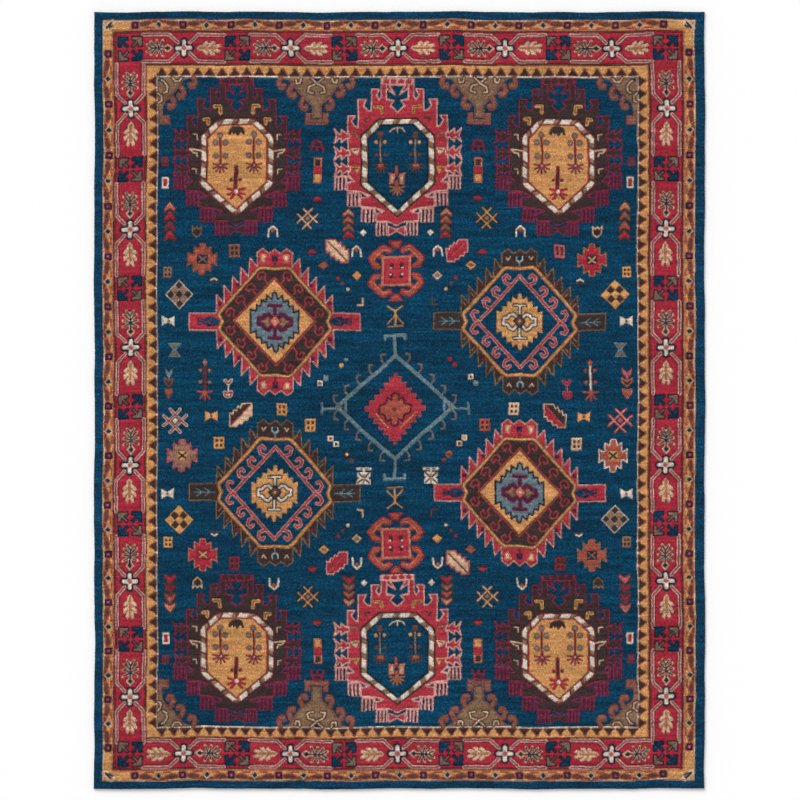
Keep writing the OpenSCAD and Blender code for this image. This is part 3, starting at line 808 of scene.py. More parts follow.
def lobed_star(place, body, rim, heart, cross):
    outline = [(0, 60), (10, 58), (13, 38), (31, 47), (31, 18), (38, 15), (54, 25), (52, 0)]
    place.edged(body, rim, four_ways(outline), 5)
    place.box(heart, 0, 0, 38, 34)
    place.line(cross, [(-13, -11), (13, 11)], 6)
    place.line(cross, [(-13, 11), (13, -11)], 6)


def crossed_star(place, arm, rim, heart, reach):
    """A diamond whose four sides run on past its corners."""
    far = reach * 0.96
    near = reach * 0.42
    for yarn, width in ((rim, 12), (arm, 5)):
        for quarter in quarters(place):
            quarter.line(yarn, [(-near, far), (far, -near)], width)
    place.diamond("ink", 0, 0, reach * 0.8, reach * 0.8)
    place.diamond(heart, 0, 0, reach * 0.55, reach * 0.55)


def checkered_diamond(place, light, dark, rim, dark_in_middle):
    place.diamond(rim, 0, 0, 108, 110)
    for i in (-1, 0, 1):
        for j in (-1, 0, 1):
            yarn = dark if ((i + j) % 2 == 0) == dark_in_middle else light
            place.diamond(yarn, 16.5 * (i + j), 17 * (i - j), 31, 32)


def chevrons(place, height, *yarns):
    """Stacked chevrons that point up, listed from the top."""
    pitch = height / len(yarns)
    for i, yarn in enumerate(yarns):
        top = height / 2 - pitch * i
        arrowhead = both_halves([(0, top + 2), (11, top - pitch * 0.3), (22, top - pitch * 0.72),
                                 (20, top - pitch * 1.12), (0, top - pitch * 0.76)])
        place.edged(yarn, "brown", arrowhead, 4)
    place.line("cream", [(-9, height / 2 - 17), (0, height / 2 - 7), (9, height / 2 - 17)], 4)


def hanging_stack(place, fork, rim):
    """A fork over a dark chevron over a rust heart, all pointing down."""
    place.edged("dark brown", rim, [(-20, 18), (0, 4), (20, 18), (18, 2), (0, -13), (-18, 2)], 5)
    place.edged("rust", rim, [(-17, -22), (0, -26), (17, -22), (17, -36), (0, -59), (-17, -36)], 4)
    place.fill(fork, both_halves([(0, 38), (19, 57), (17, 34), (6, 24), (3, 10), (0, 10)]))


def field_leaf(place, upper, lower, rim, vein):
    """A serrated leaf that leans, from lower left to upper right, in two colours along its vein."""
    upper_half = [(40, 44), (6, 44), (-2, 28), (-10, 34), (-17, 16), (-27, 21), (-30, 4), (-42, 8),
                  (-42, -42)]
    lower_half = [(-42, -42), (-14, -44), (-8, -32), (4, -34), (12, -18), (24, -20), (28, -4), (40, -4),
                  (40, 44)]
    place.fill(upper, upper_half)
    place.fill(lower, lower_half)
    outline = upper_half + lower_half[1:]
    place.line(rim, outline, 5)
    place.line(vein, [(33, 36), (-36, -38)], 5)


def bow_tie(place, yarn, heart):
    place.fill(yarn, [(-24, 20), (0, 7), (24, 20), (23, -20), (0, -7), (-23, -20)])
    place.spots(heart, 9, (0, 0))


def cell_box(place, width, height, body, cells):
    """A box with four dark cells."""
    place.box(body, 0, 0, width, height)
    for quarter in quarters(place):
        quarter.box(cells, width * 0.2, height * 0.2, width * 0.21, height * 0.22)


def twin_bar_box(place, body):
    place.box(body, 0, 0, 40, 50)
    for side in both_sides(place):
        side.box("dark brown", 8, 1, 8, 32)
        side.box("clay", 8, 1, 8, 5)


def totem(place):
    """A bar on a post over a pale box crossed by dark lines."""
    place.line("bone", [(-26, 27), (26, 27)], 11)
    place.line("brown", [(-16, 27), (16, 27)], 3)
    place.box("bone", 0, -8, 52, 46)
    for side in both_sides(place):
        side.line("ink", [(4, -4), (20, 12)], 5)
        side.line("ink", [(6, -12), (22, -26)], 5)
        side.fill("navy", [(27, 0), (18, -7), (27, -14)])
    place.line("bone", [(0, 27), (0, 6)], 9)
    place.line("amber", [(0, 4), (0, -28)], 5)


def stalk(place, stem, bud, foot):
    place.cased(stem, 7, "brown", 13, [(0, 58), (0, -44)])
    place.line(foot, [(0, -50), (0, -78)], 7)
    place.diamond(bud, 0, 66, 20, 30)
    for side in both_sides(place):
        side.spots(bud, 14, (17, 36), (17, -8))
        side.line(foot, [(4, -48), (28, -44)], 8)
        side.line(foot, [(4, -54), (18, -72)], 8)
    place.spots(foot, 20, (0, -50))


def anchor(place, rim):
    """A small bow over a heart."""
    bow = [(-13, 34), (0, 20), (13, 34)]
    heart = [(-15, -12), (-12, -26), (0, -30), (12, -26), (15, -12), (0, -18), (-15, -12)]
    place.cased("red", 6, rim, 13, bow, heart)
    place.line(rim, [(0, 18), (0, -12)], 5)


def arch(place, rim, heart):
    """An upright horseshoe with a spot of another yarn in it."""
    place.line(rim, [(-17, -20), (-15, 6), (0, 19), (15, 6), (17, -20)], 7)
    place.spots(heart, 15, (0, 4))


def crown(place, rim, body):
    """A pointed shield with a notched top, hanging down."""
    place.edged(body, rim, [(-18, 20), (-8, 8), (0, 18), (8, 8), (18, 20), (16, -8), (0, -22), (-16, -8)],
                5)


def hourglass(place):
    place.fill("grey blue", [(-26, 26), (26, 26), (7, 0), (26, -28), (-26, -28), (-7, 0)])
    place.fill("khaki", [(-15, 20), (15, 20), (0, 4)])
    place.fill("khaki", [(-15, -22), (15, -22), (0, -6)])


def small_square(place, yarn, rim):
    place.box("ink", 0, 0, 26, 26)
    place.box(rim, 0, 0, 21, 21)
    place.box(yarn, 0, 0, 10, 10)


def half_moon(place):
    """A small red dome over a dark foot."""
    place.line("dark brown", [(-15, -6), (15, -6)], 9)
    place.fill("red", [(-17, -3), (-11, 8), (0, 13), (11, 8), (17, -3)])


def omega(place):
    """A magenta dome on two feet with a dark heart."""
    place.line("magenta", [(-23, -21), (-20, -4), (-11, 14), (11, 14), (20, -4), (23, -21)], 10)
    place.box("dark brown", 0, 4, 24, 12)
    place.line("magenta", [(-14, -6), (14, -6)], 6)
    place.line("magenta", [(0, -6), (0, -21)], 9)


def three_cells(place):
    """An upright box of a brown, a red and a gold cell."""
    place.box("salmon", 0, 0, 31, 94)
    place.box("dark brown", 0, 29, 19, 24)
    place.box("red", 0, 0, 27, 30)
    place.box("gold", 0, -29, 23, 28)


def shield_row_fillings():
    """The small things beside the shields. The foot row stands a little further out."""
    for away, end in zip((0, 23), both_ends(Place(AXIS_X, AXIS_Y))):
        for side in both_sides(end):
            omega(side.at(302, 984 + away))
            three_cells(side.at(300, 889 + away))
            half_moon(side.at(300, 780 + away))
            half_moon(side.at(318, 580 + away))
            side.box("magenta", 873, 919 + away, 28, 34)
            side.box("brown", 873, 919 + away, 14, 18)
            side.box("bone", 870, 840 + away, 26, 44)
            side.box("red", 870, 840 + away, 13, 29)


# ---- The field -------------------------------------------------------------------------------

OUTER = 300  # motifs farther than this above or below the middle stand in the outer rows


def each(node):
    """Every solid's place, and how far it lies to the right of and above the rug's middle."""
    for box in solids(node):
        place = middle_of(box)
        yield place, *(place.middle - (AXIS_X, AXIS_Y))


def upright(place, y):
    """The place, upside down in the lower half of the rug."""
    return place.scaled(1, 1 if y > 0 else -1)


def shields():
    for kind, node in ((brown_shield, "brown_shields"), (red_shield, "red_shields")):
        for box in solids(node):
            x = (box[0] + box[2]) / 2
            if box[1] > AXIS_Y:
                kind(Place(x, box[3] - SHIELD_TOP - 1))
            else:
                share = (box[3] - box[1]) / (SHIELD_TOP + SHIELD_FOOT)
                kind(Place(x, box[3] - (SHIELD_TOP + 1) * share).scaled(1, share))


def spotted_fillings():
    """Small things that stand between the large motifs, told by their distance from the middle."""
    middle = Place(AXIS_X, AXIS_Y)
    for side_x, place in zip((1, -1), both_sides(middle)):
        for side_y, half in zip((1, -1), both_ends(place)):
            one_hand = side_x * side_y > 0
            for yarn, other, x, y, width, height in (("gold", "rust", 276, 532, 42, 34),
                                                     ("rust", "tan", 276, 532, 20, 14),
                                                     ("cream", "gold", 150, 491, 38, 36),
                                                     ("tan", "gold", 150, 491, 22, 20),
                                                     ("bone", "bone", 126, 655, 26, 26)):
                half.diamond(yarn if one_hand else other, x, y, width, height)
            half.spots("red", 14, (220, 482))
            half.spots("brown", 15, (203, 462))
            half.spots("cream", 13, (183, 441))
            half.line("cream" if side_x < 0 else "brown", [(128, 408), (128, 384), (148, 382)], 7)
            half.line("bone", [(672, 476), (684, 482), (695, 475)], 7)
            half.line("brown", [(664, 468), (702, 468)], 5)
    for side_x, place in zip((1, -1), both_sides(middle)):
        red_x, red_y, blue_x, blue_y = (272, 116, 291, 92) if side_x > 0 else (291, 91, 269, 112)
        small_square(place.at(blue_x, blue_y), "grey blue", "grey blue")
        small_square(place.at(red_x, red_y), "red", "bone")
        place.spots("red" if side_x > 0 else "gold", 17, (212, 158))
        place.spots("red" if side_x > 0 else "grey blue", 17, (194, 178))
        small_square(place.at(251, -114), "gold" if side_x > 0 else "red", "bone")
        small_square(place.at(232, -136), "ink", "cream" if side_x > 0 else "bone")
        place.spots("dark brown" if side_x < 0 else "rust", 26, (192, -176))
        place.spots("cream" if side_x < 0 else "brown", 12, (192, -176))
        place.spots("brown", 20, (174, -198))


def star_fillings():
    for place, x, y in each("lobed_stars"):
        corner = (x > 0, y > 0) if abs(y) > OUTER else (x > 0,)
        lobed_star(place, *STAR_YARNS[corner])
    for place, x, y in each("crossed_stars"):
        if abs(y) < OUTER:
            colours = ("red", "bone", "bone") if x < 0 else ("pale pink", "red", "rose")
            crossed_star(place, *colours, 45)
        elif x * y < 0:
            crossed_star(place, "cream", "brown", "tan", 39)
        else:
            crossed_star(place, "gold", "dark brown", "tan", 39)


def row_fillings():
    """Checkered diamonds, chevrons and leaves."""
    for place, x, y in each("checkered_diamonds"):
        if x * y < 0:
            checkered_diamond(place, "tan", "dark brown", "bone", True)
        else:
            checkered_diamond(place, "gold", "dark brown", "gold", False)
    for place, x, y in each("chevron_stacks"):
        if abs(x) < 300:
            chevrons(upright(place, y), 112, "salmon", "rust", "clay", "red")
        elif abs(y) > OUTER:
            chevrons(upright(place, y), 142, *CHEVRON_YARNS[x > 0, y > 0])
        else:
            fork, rim, wide = ("grey blue", "clay", 0.75) if x < 0 else ("rose", "salmon", 1)
            hanging_stack(place.scaled(wide, 1), fork, rim)
    for place, x, y in each("leaf_motifs"):
        if abs(y) < OUTER:
            lower = "cream" if x < 0 else "red"
            field_leaf(place.scaled(-1 if x > 0 else 1, 1), "dark brown", lower, "cream", "rose")
        elif x * y > 0:
            field_leaf(place.scaled(0.95, 0.95), "red", "red", "pale pink", "rose")
        else:
            field_leaf(place.scaled(-1, 1), "cream", "cream", "rose", "maroon")


def box_fillings():
    for place, x, y in each("bow_ties"):
        if 150 < y < 290:
            hourglass(place)
        else:
            bow_tie(place, "gold" if abs(y) < 100 else "bone", "brown")
    for place, x, y in each("small_boxes"):
        if abs(x) < 200:
            totem(place)
        elif abs(y) > 560:
            twin_bar_box(place, BOX_YARNS[x > 0, y > 0])
        elif abs(x) > 800:
            cell_box(place, 34, 42, "gold" if x * y > 0 else "tan", "dark brown")
        else:
            body = "gold" if x < 0 else "rust" if x < 350 else "cream"
            cell_box(place, 40, 46, body, "dark brown")


def figure_fillings():
    for place, x, y in each("flower_stalks"):
        stalk(place, "maroon" if x < 0 else "bone", "tan" if x < 0 else "rust", "rust")
    for place, x, y in each("small_figures"):
        if abs(y) < 200:
            anchor(place.scaled(0.85, 0.95), "bone" if x < 0 else "rose")
        elif abs(x) > 700:
            crown(upright(place, y), "cream" if x * y > 0 else "khaki", "dark brown")
        else:
            arch(upright(place, y), "bone", "rust")
    for place, x, y in each("tree_motifs"):
        tree(upright(place, y))
    for end in both_ends(Place(AXIS_X - 4, AXIS_Y)):
        crab(end.at(0, CRAB_REACH))


# Yarns by the part of the field: whether it lies right of, and then whether above, the middle.
STAR_YARNS = {
    (False, True): ("rust", "clay", "ink", "khaki"),
    (True, True): ("red", "amber", "ink", "gold"),
    (False, False): ("red", "salmon", "magenta", "gold"),
    (True, False): ("rust", "tan", "ink", "khaki"),
    (False,): ("tan", "rose", "gold", "ink"),
    (True,): ("rust", "bone", "gold", "ink"),
}
CHEVRON_YARNS = {
    (False, True): ("rose", "red", "magenta", "red"),
    (True, True): ("amber", "clay", "rust", "red"),
    (False, False): ("salmon", "rust", "maroon", "red"),
    (True, False): ("rose", "magenta", "magenta", "rose"),
}
BOX_YARNS = {
    (False, True): "clay",
    (True, True): "rose",
    (False, False): "magenta",
    (True, False): "maroon",
}


def field_brackets():
    for box in solids("edge_brackets"):
        x = (box[0] + box[2]) / 2
        if box[3] > AXIS_Y:
            edge_bracket(Place(x, field_head))
        else:
            edge_bracket(Place(x, field_foot).scaled(1, -1))
    for x, flip_x in ((field_left, 1), (field_right, -1)):
        for y, flip_y in ((field_head, 1), (field_foot, -1)):
            corner_bracket(Place(x, y).scaled(flip_x, flip_y))


def draw_pattern():
    ground_stripes()
    outer_guard()
    inner_guard()
    main_border()
    field_brackets()
    shields()
    for end in (1, -1):
        for kind, node, flip in ((red_medallion, "red_medallion_collars", 1), (brown_medallion,
                                                                               "brown_medallion_collars",
                                                                               -1)):
            left, foot, right, head = flat_box(node)
            x = left + MEDALLION_REACH if flip == end else right - MEDALLION_REACH
            y = head - MEDALLION_RISE if end > 0 else foot + MEDALLION_RISE
            kind(Place(x, y))
    lozenge(LOZENGE)
    star_fillings()
    row_fillings()
    box_fillings()
    figure_fillings()
    spotted_fillings()
    shield_row_fillings()


draw_pattern()


# ==== PILE ====================================================================================

PILE_FOOT = 1000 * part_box("field_pile")[0].z
PILE_TOP = 1000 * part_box("field_pile")[1].z
SLOTS = {part["node"]: part["material_slot"] for part in frame["record"]["subparts"]}
PILE_NODES = [node for node in SLOTS if abs(1000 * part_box(node)[0].z - PILE_FOOT) < 0.01]


def linear(colours):
    """sRGB from 0 to 255 as linear light from 0 to 1."""
    share = np.array(colours, float) / 255
    return np.where(share <= 0.04045, share / 12.92, ((share + 0.055) / 1.055) ** 2.4)


# How far a tuft's brightness strays from its yarn's, as powers of e.
FINE_BANDS = 0.38
BROAD_BANDS = 0.14
TONE = 0.08
FLECK = 0.32
PAINTED_JOINT_SHADE = 0.34  # how much darker the pile's colour is painted where two yarns meet: painted shade in the groove between them
TEAL = 0.10  # how far a tuft's red strays, while its green and blue stray less
GLINT = 0.0024  # painted highlight: mean light that a tuft's fibres would throw back, added on top of its yarn's colour


def tuft_colours():
    """One colour for every tuft: its yarns, mixed where two meet, with the dye's bands and flecks, painted
    shade where two yarns meet and painted glints of light on top.
    """
    shape = rows, columns = cloth.rows, cloth.columns
    colours = linear(list(YARNS.values()))[cloth.yarn]
    colours = colours.reshape(rows, FINE, columns, FINE, 3).mean((1, 3))
    blue = np.clip(3 * colours[..., 2] / colours.sum(-1) - 1, 0, 1)
    depth = 0.65 + 0.45 * blue  # blue yarns took the dye least evenly
    bands = stretched_noise(shape, 1.8, 18) * FINE_BANDS + stretched_noise(shape, 5, 120) * BROAD_BANDS
    tone = smooth_noise(shape, 90) * TONE
    fleck = rng.normal(0, FLECK, shape)
    # painted shade: tufts where two yarns meet are darkened, as the carved groove between them would be
    # shaded
    painted_joint_shade = np.minimum(yarn_changes() / FINE, 1) * PAINTED_JOINT_SHADE
    light = np.exp(depth * (bands + tone + fleck) - painted_joint_shade)
    teal = depth * (stretched_noise(shape, 2, 14) + rng.normal(0, 0.6, shape)) * TEAL
    hue = np.exp(teal[..., None] * (-1, 0.5, -0.4))
    # painted highlight: a random glint of light added to every tuft's colour
    glint = rng.exponential(GLINT, (rows, columns, 1))
    return np.clip(colours * light[..., None] * hue + glint, 0, 1)


def yarn_changes():
    """How many of each tuft's fine cells meet another yarn."""
    changes = np.zeros(cloth.yarn.shape)
    changes[:, 1:] += cloth.yarn[:, 1:] != cloth.yarn[:, :-1]
    changes[1:] += cloth.yarn[1:] != cloth.yarn[:-1]
    return changes.reshape(cloth.rows, FINE, cloth.columns, FINE).sum((1, 3))


def stretched_noise(shape, row_reach, column_reach):
    """Smooth noise that runs in bands along the rows, as dyed wool does."""
    stretch = row_reach / column_reach
    narrow = smooth_noise((shape[0], int(shape[1] * stretch) + 2), row_reach)
    place = np.arange(shape[1]) * stretch
    low = place.astype(int)
    share = place - low
    return narrow[:, low] * (1 - share) + narrow[:, low + 1] * share


def on_corners(cells):
    """Values of the cells, averaged onto the corners between them."""
    padded = np.pad(cells, 1, mode="edge")
    return (padded[:-1, :-1] + padded[1:, :-1] + padded[:-1, 1:] + padded[1:, 1:]) / 4


def from_rim(x, y, low, high):
    """The distance of points from the nearest side of a flat box."""
    return np.minimum(np.minimum(x - low[0], high[0] - x), np.minimum(y - low[1], high[1] - y))


GROOVE = 1.6  # depth of the line carved between two yarns
RIM = 12  # width over which the pile rounds down at the rug's edge
RIM_DROP = 6
LEAN = 0.5  # how far tufts lean together with their neighbours
OWN_LEAN = 0.4  # and each on its own
HIGHEST = 0.8  # how far above the common height the highest tufts end, at the pile's top


def tuft_corners():
    """The place of every corner between the tufts: a soft, slightly uneven pile, grooved between yarns."""
    x, y = np.meshgrid(np.linspace(cloth.left, cloth.right, cloth.columns + 1),
                       np.linspace(cloth.foot, cloth.head, cloth.rows + 1))
    shape = x.shape
    groove = np.minimum(on_corners(yarn_changes()) / FINE, 1) * GROOVE
    lie = 0.5 * smooth_noise(shape, 60) + 0.35 * smooth_noise(shape, 9) + rng.normal(0, 0.22, shape)
    rim = 1 - np.clip(from_rim(x, y, (cloth.left, cloth.foot), (cloth.right, cloth.head)) / RIM, 0, 1)
    lie = np.clip(lie, -1, HIGHEST) - HIGHEST
    z = PILE_TOP + lie - groove - RIM_DROP * (1 - np.sqrt(1 - rim ** 2))
    lean_x, lean_y = (LEAN * smooth_noise(shape, 12) + rng.uniform(-OWN_LEAN, OWN_LEAN, shape)
                      for direction in ("x", "y"))
    return np.stack([x + lean_x, y + lean_y, z], -1) + sway(x, y)


def sway(x, y):
    """How far the whole rug, pile and cloth, strays from a true rectangle, in millimetres."""
    across = 1.5 * np.sin(y / 150 + 1.3) + 1.0 * np.sin(y / 61 + x / 500) + 0.5 * np.sin(y / 29 + 2)
    up = 1.5 * np.sin(x / 140 + 0.4) + 1.0 * np.sin(x / 57 - y / 600) + 0.5 * np.sin(x / 31 + 1)
    return np.stack([across, up, 0 * across], -1)


def cells_inside(node):
    """The tufts inside a node's plan, by counting the outline's crossings along each row."""
    mesh = bpy.data.objects[node].data
    number = welded(mesh)
    places = [tuple(round(1000 * c, 2) for c in vertex.co) for vertex in mesh.vertices]
    sides = {}
    for face in mesh.polygons:
        corners = [number[v] for v in face.vertices]
        if min(places[c][2] for c in corners) > PILE_TOP - 0.5:
            for one, two in zip(corners, corners[1:] + corners[:1]):
                key = (min(one, two), max(one, two))
                sides[key] = sides.get(key, 0) + 1
    tuft_x = (cloth.right - cloth.left) / cloth.columns
    tuft_y = (cloth.head - cloth.foot) / cloth.rows
    crossings = np.zeros((cloth.rows, cloth.columns + 1), int)
    middles = cloth.foot + tuft_y * (np.arange(cloth.rows) + 0.5)
    for (one, two), count in sides.items():
        (x0, y0, _), (x1, y1, _) = places[one], places[two]
        if count == 1 and y0 != y1:
            rows = np.nonzero((middles >= min(y0, y1)) & (middles < max(y0, y1)))[0]
            x = x0 + (x1 - x0) * (middles[rows] - y0) / (y1 - y0)
            column = np.clip(np.ceil((x - cloth.left) / tuft_x - 0.5), 0, cloth.columns).astype(int)
            np.add.at(crossings, (rows, column), 1)
    return np.cumsum(crossings, axis=1)[:, :-1] % 2 == 1


LAYOUT_GAP = 0.008  # between two boxes of the flat layout
REACH = 6  # farther than any tuft strays from its solid


def packed_boxes(boxes):
    """Offsets and one scale that lay flat boxes side by side in a unit square, in shelves."""
    gap = LAYOUT_GAP
    order = sorted(range(len(boxes)), key=lambda i: boxes[i][1] - boxes[i][3])
    scale = 1 / max(max(b[2] - b[0], b[3] - b[1]) for b in boxes) * (1 - 2 * gap)
    while True:
        spots = {}
        x = y = gap
        shelf = 0
        for i in order:
            width = (boxes[i][2] - boxes[i][0]) * scale
            height = (boxes[i][3] - boxes[i][1]) * scale
            if x + width > 1 - gap:
                x = gap
                y += shelf + gap
                shelf = 0
            spots[i] = (x, y)
            x += width + gap
            shelf = max(shelf, height)
        if y + shelf <= 1 - gap:
            return spots, scale
        scale *= 0.95


def pile_mesh(name, inside, boxes):
    """A closed mesh over the given tufts: the pile's surface, its cut sides and its foot."""
    rows, columns = np.nonzero(inside)
    used = np.zeros((cloth.rows + 1, cloth.columns + 1), bool)
    for dr in (0, 1):
        for dc in (0, 1):
            used[rows + dr, columns + dc] = True
    number = np.full(used.shape, -1)
    number[used] = np.arange(used.sum())
    top = CORNERS[used]
    foot = top * (1, 1, 0) + (0, 0, PILE_FOOT)
    points = np.concatenate([top, foot])
    count = len(top)
    a = number[rows, columns]
    b = number[rows, columns + 1]
    c = number[rows + 1, columns + 1]
    d = number[rows + 1, columns]
    faces = [np.column_stack([a, b, c, d]), np.column_stack([d, c, b, a]) + count]
    tufts = [rows * cloth.columns + columns] * 2
    wide = np.pad(inside, 1)
    for dr, dc, one, two in ((-1, 0, a, b), (0, 1, b, c), (1, 0, c, d), (0, -1, d, a)):
        bare = ~wide[rows + 1 + dr, columns + 1 + dc]
        faces.append(np.column_stack([one[bare] + count, two[bare] + count, two[bare], one[bare]]))
        tufts.append(tufts[0][bare])
    faces = np.concatenate(faces)
    tufts = np.concatenate(tufts)
    mesh = bpy.data.meshes.new(name)
    mesh.vertices.add(2 * count)
    mesh.vertices.foreach_set("co", (points / 1000).astype(np.float32).ravel())
    mesh.loops.add(4 * len(faces))
    mesh.loops.foreach_set("vertex_index", faces.astype(np.int32).ravel())
    mesh.polygons.add(len(faces))
    mesh.polygons.foreach_set("loop_start", np.arange(0, 4 * len(faces), 4, dtype=np.int32))
    mesh.polygons.foreach_set("use_smooth", np.ones(len(faces), bool))
    mesh.update(calc_edges=True)
    # The faces' colours carry the painted shade where two yarns meet and the painted glints.
    colours = np.ones((len(faces), 4), np.float32)
    colours[:, :3] = COLOURS.reshape(-1, 3)[tufts]
    mesh.attributes.new("yarn", "FLOAT_COLOR", "FACE").data.foreach_set("color", colours.ravel())
    lay_out(mesh, points, faces, count, boxes)
    return mesh


def lay_out(mesh, places, faces, count, boxes):
    """The surface seen from above as a flat layout. The foot shrinks to a corner of it."""
    spots, scale = packed_boxes(boxes)
    corner = 0.002
    flat = np.full((len(places), 2), corner)
    x, y = places[:, 0], places[:, 1]
    for i, (left, foot, right, head) in enumerate(boxes):
        near = (x > left) & (x < right) & (y > foot) & (y < head)
        flat[near] = spots[i] + (places[near, :2] - (left, foot)) * scale
    loops = flat[np.where(faces >= count, faces - count, faces)]
    under = (faces >= count).all(1)
    loops[under] = corner + loops[under] * corner
    mesh.uv_layers.new(name="OFBake").data.foreach_set("uv", loops.astype(np.float32).ravel())


def placed(name, data):
    """A new object in the scene."""
    thing = bpy.data.objects.new(name, data)
    bpy.context.scene.collection.objects.link(thing)
    return thing


def stand_for(piece, node):
    """Let a piece stand for a CAD node: attach it to the root body and hide the node."""
    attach(piece, "root")
    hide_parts(node)
    return piece


def pile_pieces():
    """One piece for each yarn area of the CAD. Every tuft belongs to exactly one of them."""
    owner = np.zeros((cloth.rows, cloth.columns), int)
    for index, node in enumerate(PILE_NODES):
        owner[cells_inside(node)] = index
    for index, node in enumerate(PILE_NODES):
        boxes = [(left - REACH, foot - REACH, right + REACH, head + REACH)
                 for left, foot, right, head in solids(node)]
        mesh = pile_mesh(node + "_tufts", owner == index, boxes)
        mesh.materials.append(wool())
        stand_for(placed(node + "_tufts", mesh), node)


# ---- Materials -------------------------------------------------------------------------------

def new_material(name, roughness, sheen):
    """A principled material with the constants that are set on its own sockets."""
    material = bpy.data.materials.new(name)
    material.use_nodes = True
    shader = material.node_tree.nodes["Principled BSDF"]
    shader.inputs["Roughness"].default_value = roughness
    shader.inputs["Specular IOR Level"].default_value = 0.1
    shader.inputs["Sheen Weight"].default_value = sheen
    shader.inputs["Sheen Roughness"].default_value = 0.45
    return material, material.node_tree, shader


def shader_node(tree, kind, **inputs):
    """A shader node with some of its input values set."""
    made = tree.nodes.new(kind)
    for name, value in inputs.items():
        made.inputs[name.replace("_", " ")].default_value = value
    return made


def texture(tree, kind, place, **inputs):
    """A texture node that is laid out by the place it is given."""
    made = shader_node(tree, kind, **inputs)
    tree.links.new(place, made.inputs["Vector"])
    return made


def mapped(tree, source, low, high):
    """A 0 to 1 value spread over another range."""
    spread = shader_node(tree, "ShaderNodeMapRange", To_Min=low, To_Max=high)
    tree.links.new(source, spread.inputs["Value"])
    return spread.outputs["Result"]


def combined(tree, operation, one, two):
    """Two values, multiplied or compared."""
    made = tree.nodes.new("ShaderNodeMath")
    made.operation = operation
    tree.links.new(one, made.inputs[0])
    tree.links.new(two, made.inputs[1])
    return made.outputs["Value"]


def plain(tree, colour):
    made = tree.nodes.new("ShaderNodeRGB")
    made.outputs[0].default_value = (*colour, 1)
    return made.outputs[0]


def dress(tree, shader, colour, shade, roughness):
    """Set a shader's colour, darkened or lightened by the shade, and its roughness."""
    mix = tree.nodes.new("ShaderNodeVectorMath")
    mix.operation = "SCALE"
    tree.links.new(colour, mix.inputs[0])
    tree.links.new(shade, mix.inputs["Scale"])
    tree.links.new(mix.outputs["Vector"], shader.inputs["Base Color"])
    tree.links.new(roughness, shader.inputs["Roughness"])


def bump(tree, shader, height, distance, strength):
    relief = shader_node(tree, "ShaderNodeBump", Strength=strength, Distance=distance)
    tree.links.new(height, relief.inputs["Height"])
    tree.links.new(relief.outputs["Normal"], shader.inputs["Normal"])


@functools.cache
def wool():
    """Cut wool pile: the tufts' colours, with painted shade between the yarn ends, matt and softly rough.
    """
    material, tree, shader = new_material("wool_pile", 0.95, 0.02)
    yarn = tree.nodes.new("ShaderNodeAttribute")
    yarn.attribute_name = "yarn"
    place = tree.nodes.new("ShaderNodeTexCoord").outputs["Object"]
    ends = texture(tree, "ShaderNodeTexVoronoi", place, Scale=1000 / TUFT, Randomness=0.9)
    ends = ends.outputs["Distance"]
    fibre = texture(tree, "ShaderNodeTexNoise", place, Scale=1400.0, Detail=3.0, Roughness=0.7)
    fibre = fibre.outputs["Fac"]
    # painted shade: the colour darkens from each yarn end's middle to its rim, where the neighbouring tufts
    # would shade it; the fibre noise is the wool's own tone
    shade = combined(tree, "MULTIPLY", mapped(tree, ends, 1.16, 0.70), mapped(tree, fibre, 0.70, 1.30))
    dress(tree, shader, yarn.outputs["Color"], shade, mapped(tree, fibre, 0.82, 1.0))
    bump(tree, shader, mapped(tree, ends, 1.0, 0.0), 0.0012, 0.5)
    return material


@functools.cache
def cotton(name, colour, threads, slant=0):
    """Woven cotton: warp and weft as crossing waves, thick and thin threads, and flecks of husk."""
    material, tree, shader = new_material(name, 0.9, 0.1)
    place = tree.nodes.new("ShaderNodeTexCoord").outputs["Object"]
    turn = texture(tree, "ShaderNodeMapping", place)
    turn.inputs["Rotation"].default_value = (0, 0, math.radians(slant))
    waves = []
    for direction in ("X", "Y"):
        wave = texture(tree, "ShaderNodeTexWave", turn.outputs["Vector"], Scale=threads / 20,
                       Distortion=0.6, Detail=1.0)
        wave.bands_direction = direction
        waves.append(wave.outputs["Fac"])
    weave = combined(tree, "MAXIMUM", *waves)
    slub = texture(tree, "ShaderNodeTexNoise", place, Scale=160.0, Detail=4.0).outputs["Fac"]
    husk = texture(tree, "ShaderNodeTexNoise", place, Scale=40.0, Detail=6.0).outputs["Fac"]
    shade = combined(tree, "MULTIPLY", mapped(tree, weave, 0.80, 1.08), mapped(tree, husk, 0.90, 1.10))
    shade = combined(tree, "MULTIPLY", shade, mapped(tree, slub, 0.85, 1.15))
    dress(tree, shader, plain(tree, colour), shade, mapped(tree, slub, 0.8, 1.0))
    bump(tree, shader, weave, 0.0004, 0.6)
    return material


@functools.cache
def latex():
    """Dried latex, unevenly spread."""
    material, tree, shader = new_material("latex_film", 0.6, 0.0)
    place = tree.nodes.new("ShaderNodeTexCoord").outputs["Object"]
    smear = texture(tree, "ShaderNodeTexNoise", place, Scale=30.0, Detail=5.0).outputs["Fac"]
    dress(tree, shader, plain(tree, (0.60, 0.52, 0.36)), mapped(tree, smear, 0.8, 1.2),
          mapped(tree, smear, 0.5, 0.8))
    bump(tree, shader, smear, 0.0005, 0.4)
    return material


# ---- Cloth, tapes and coats under the pile -----------------------------------------------------

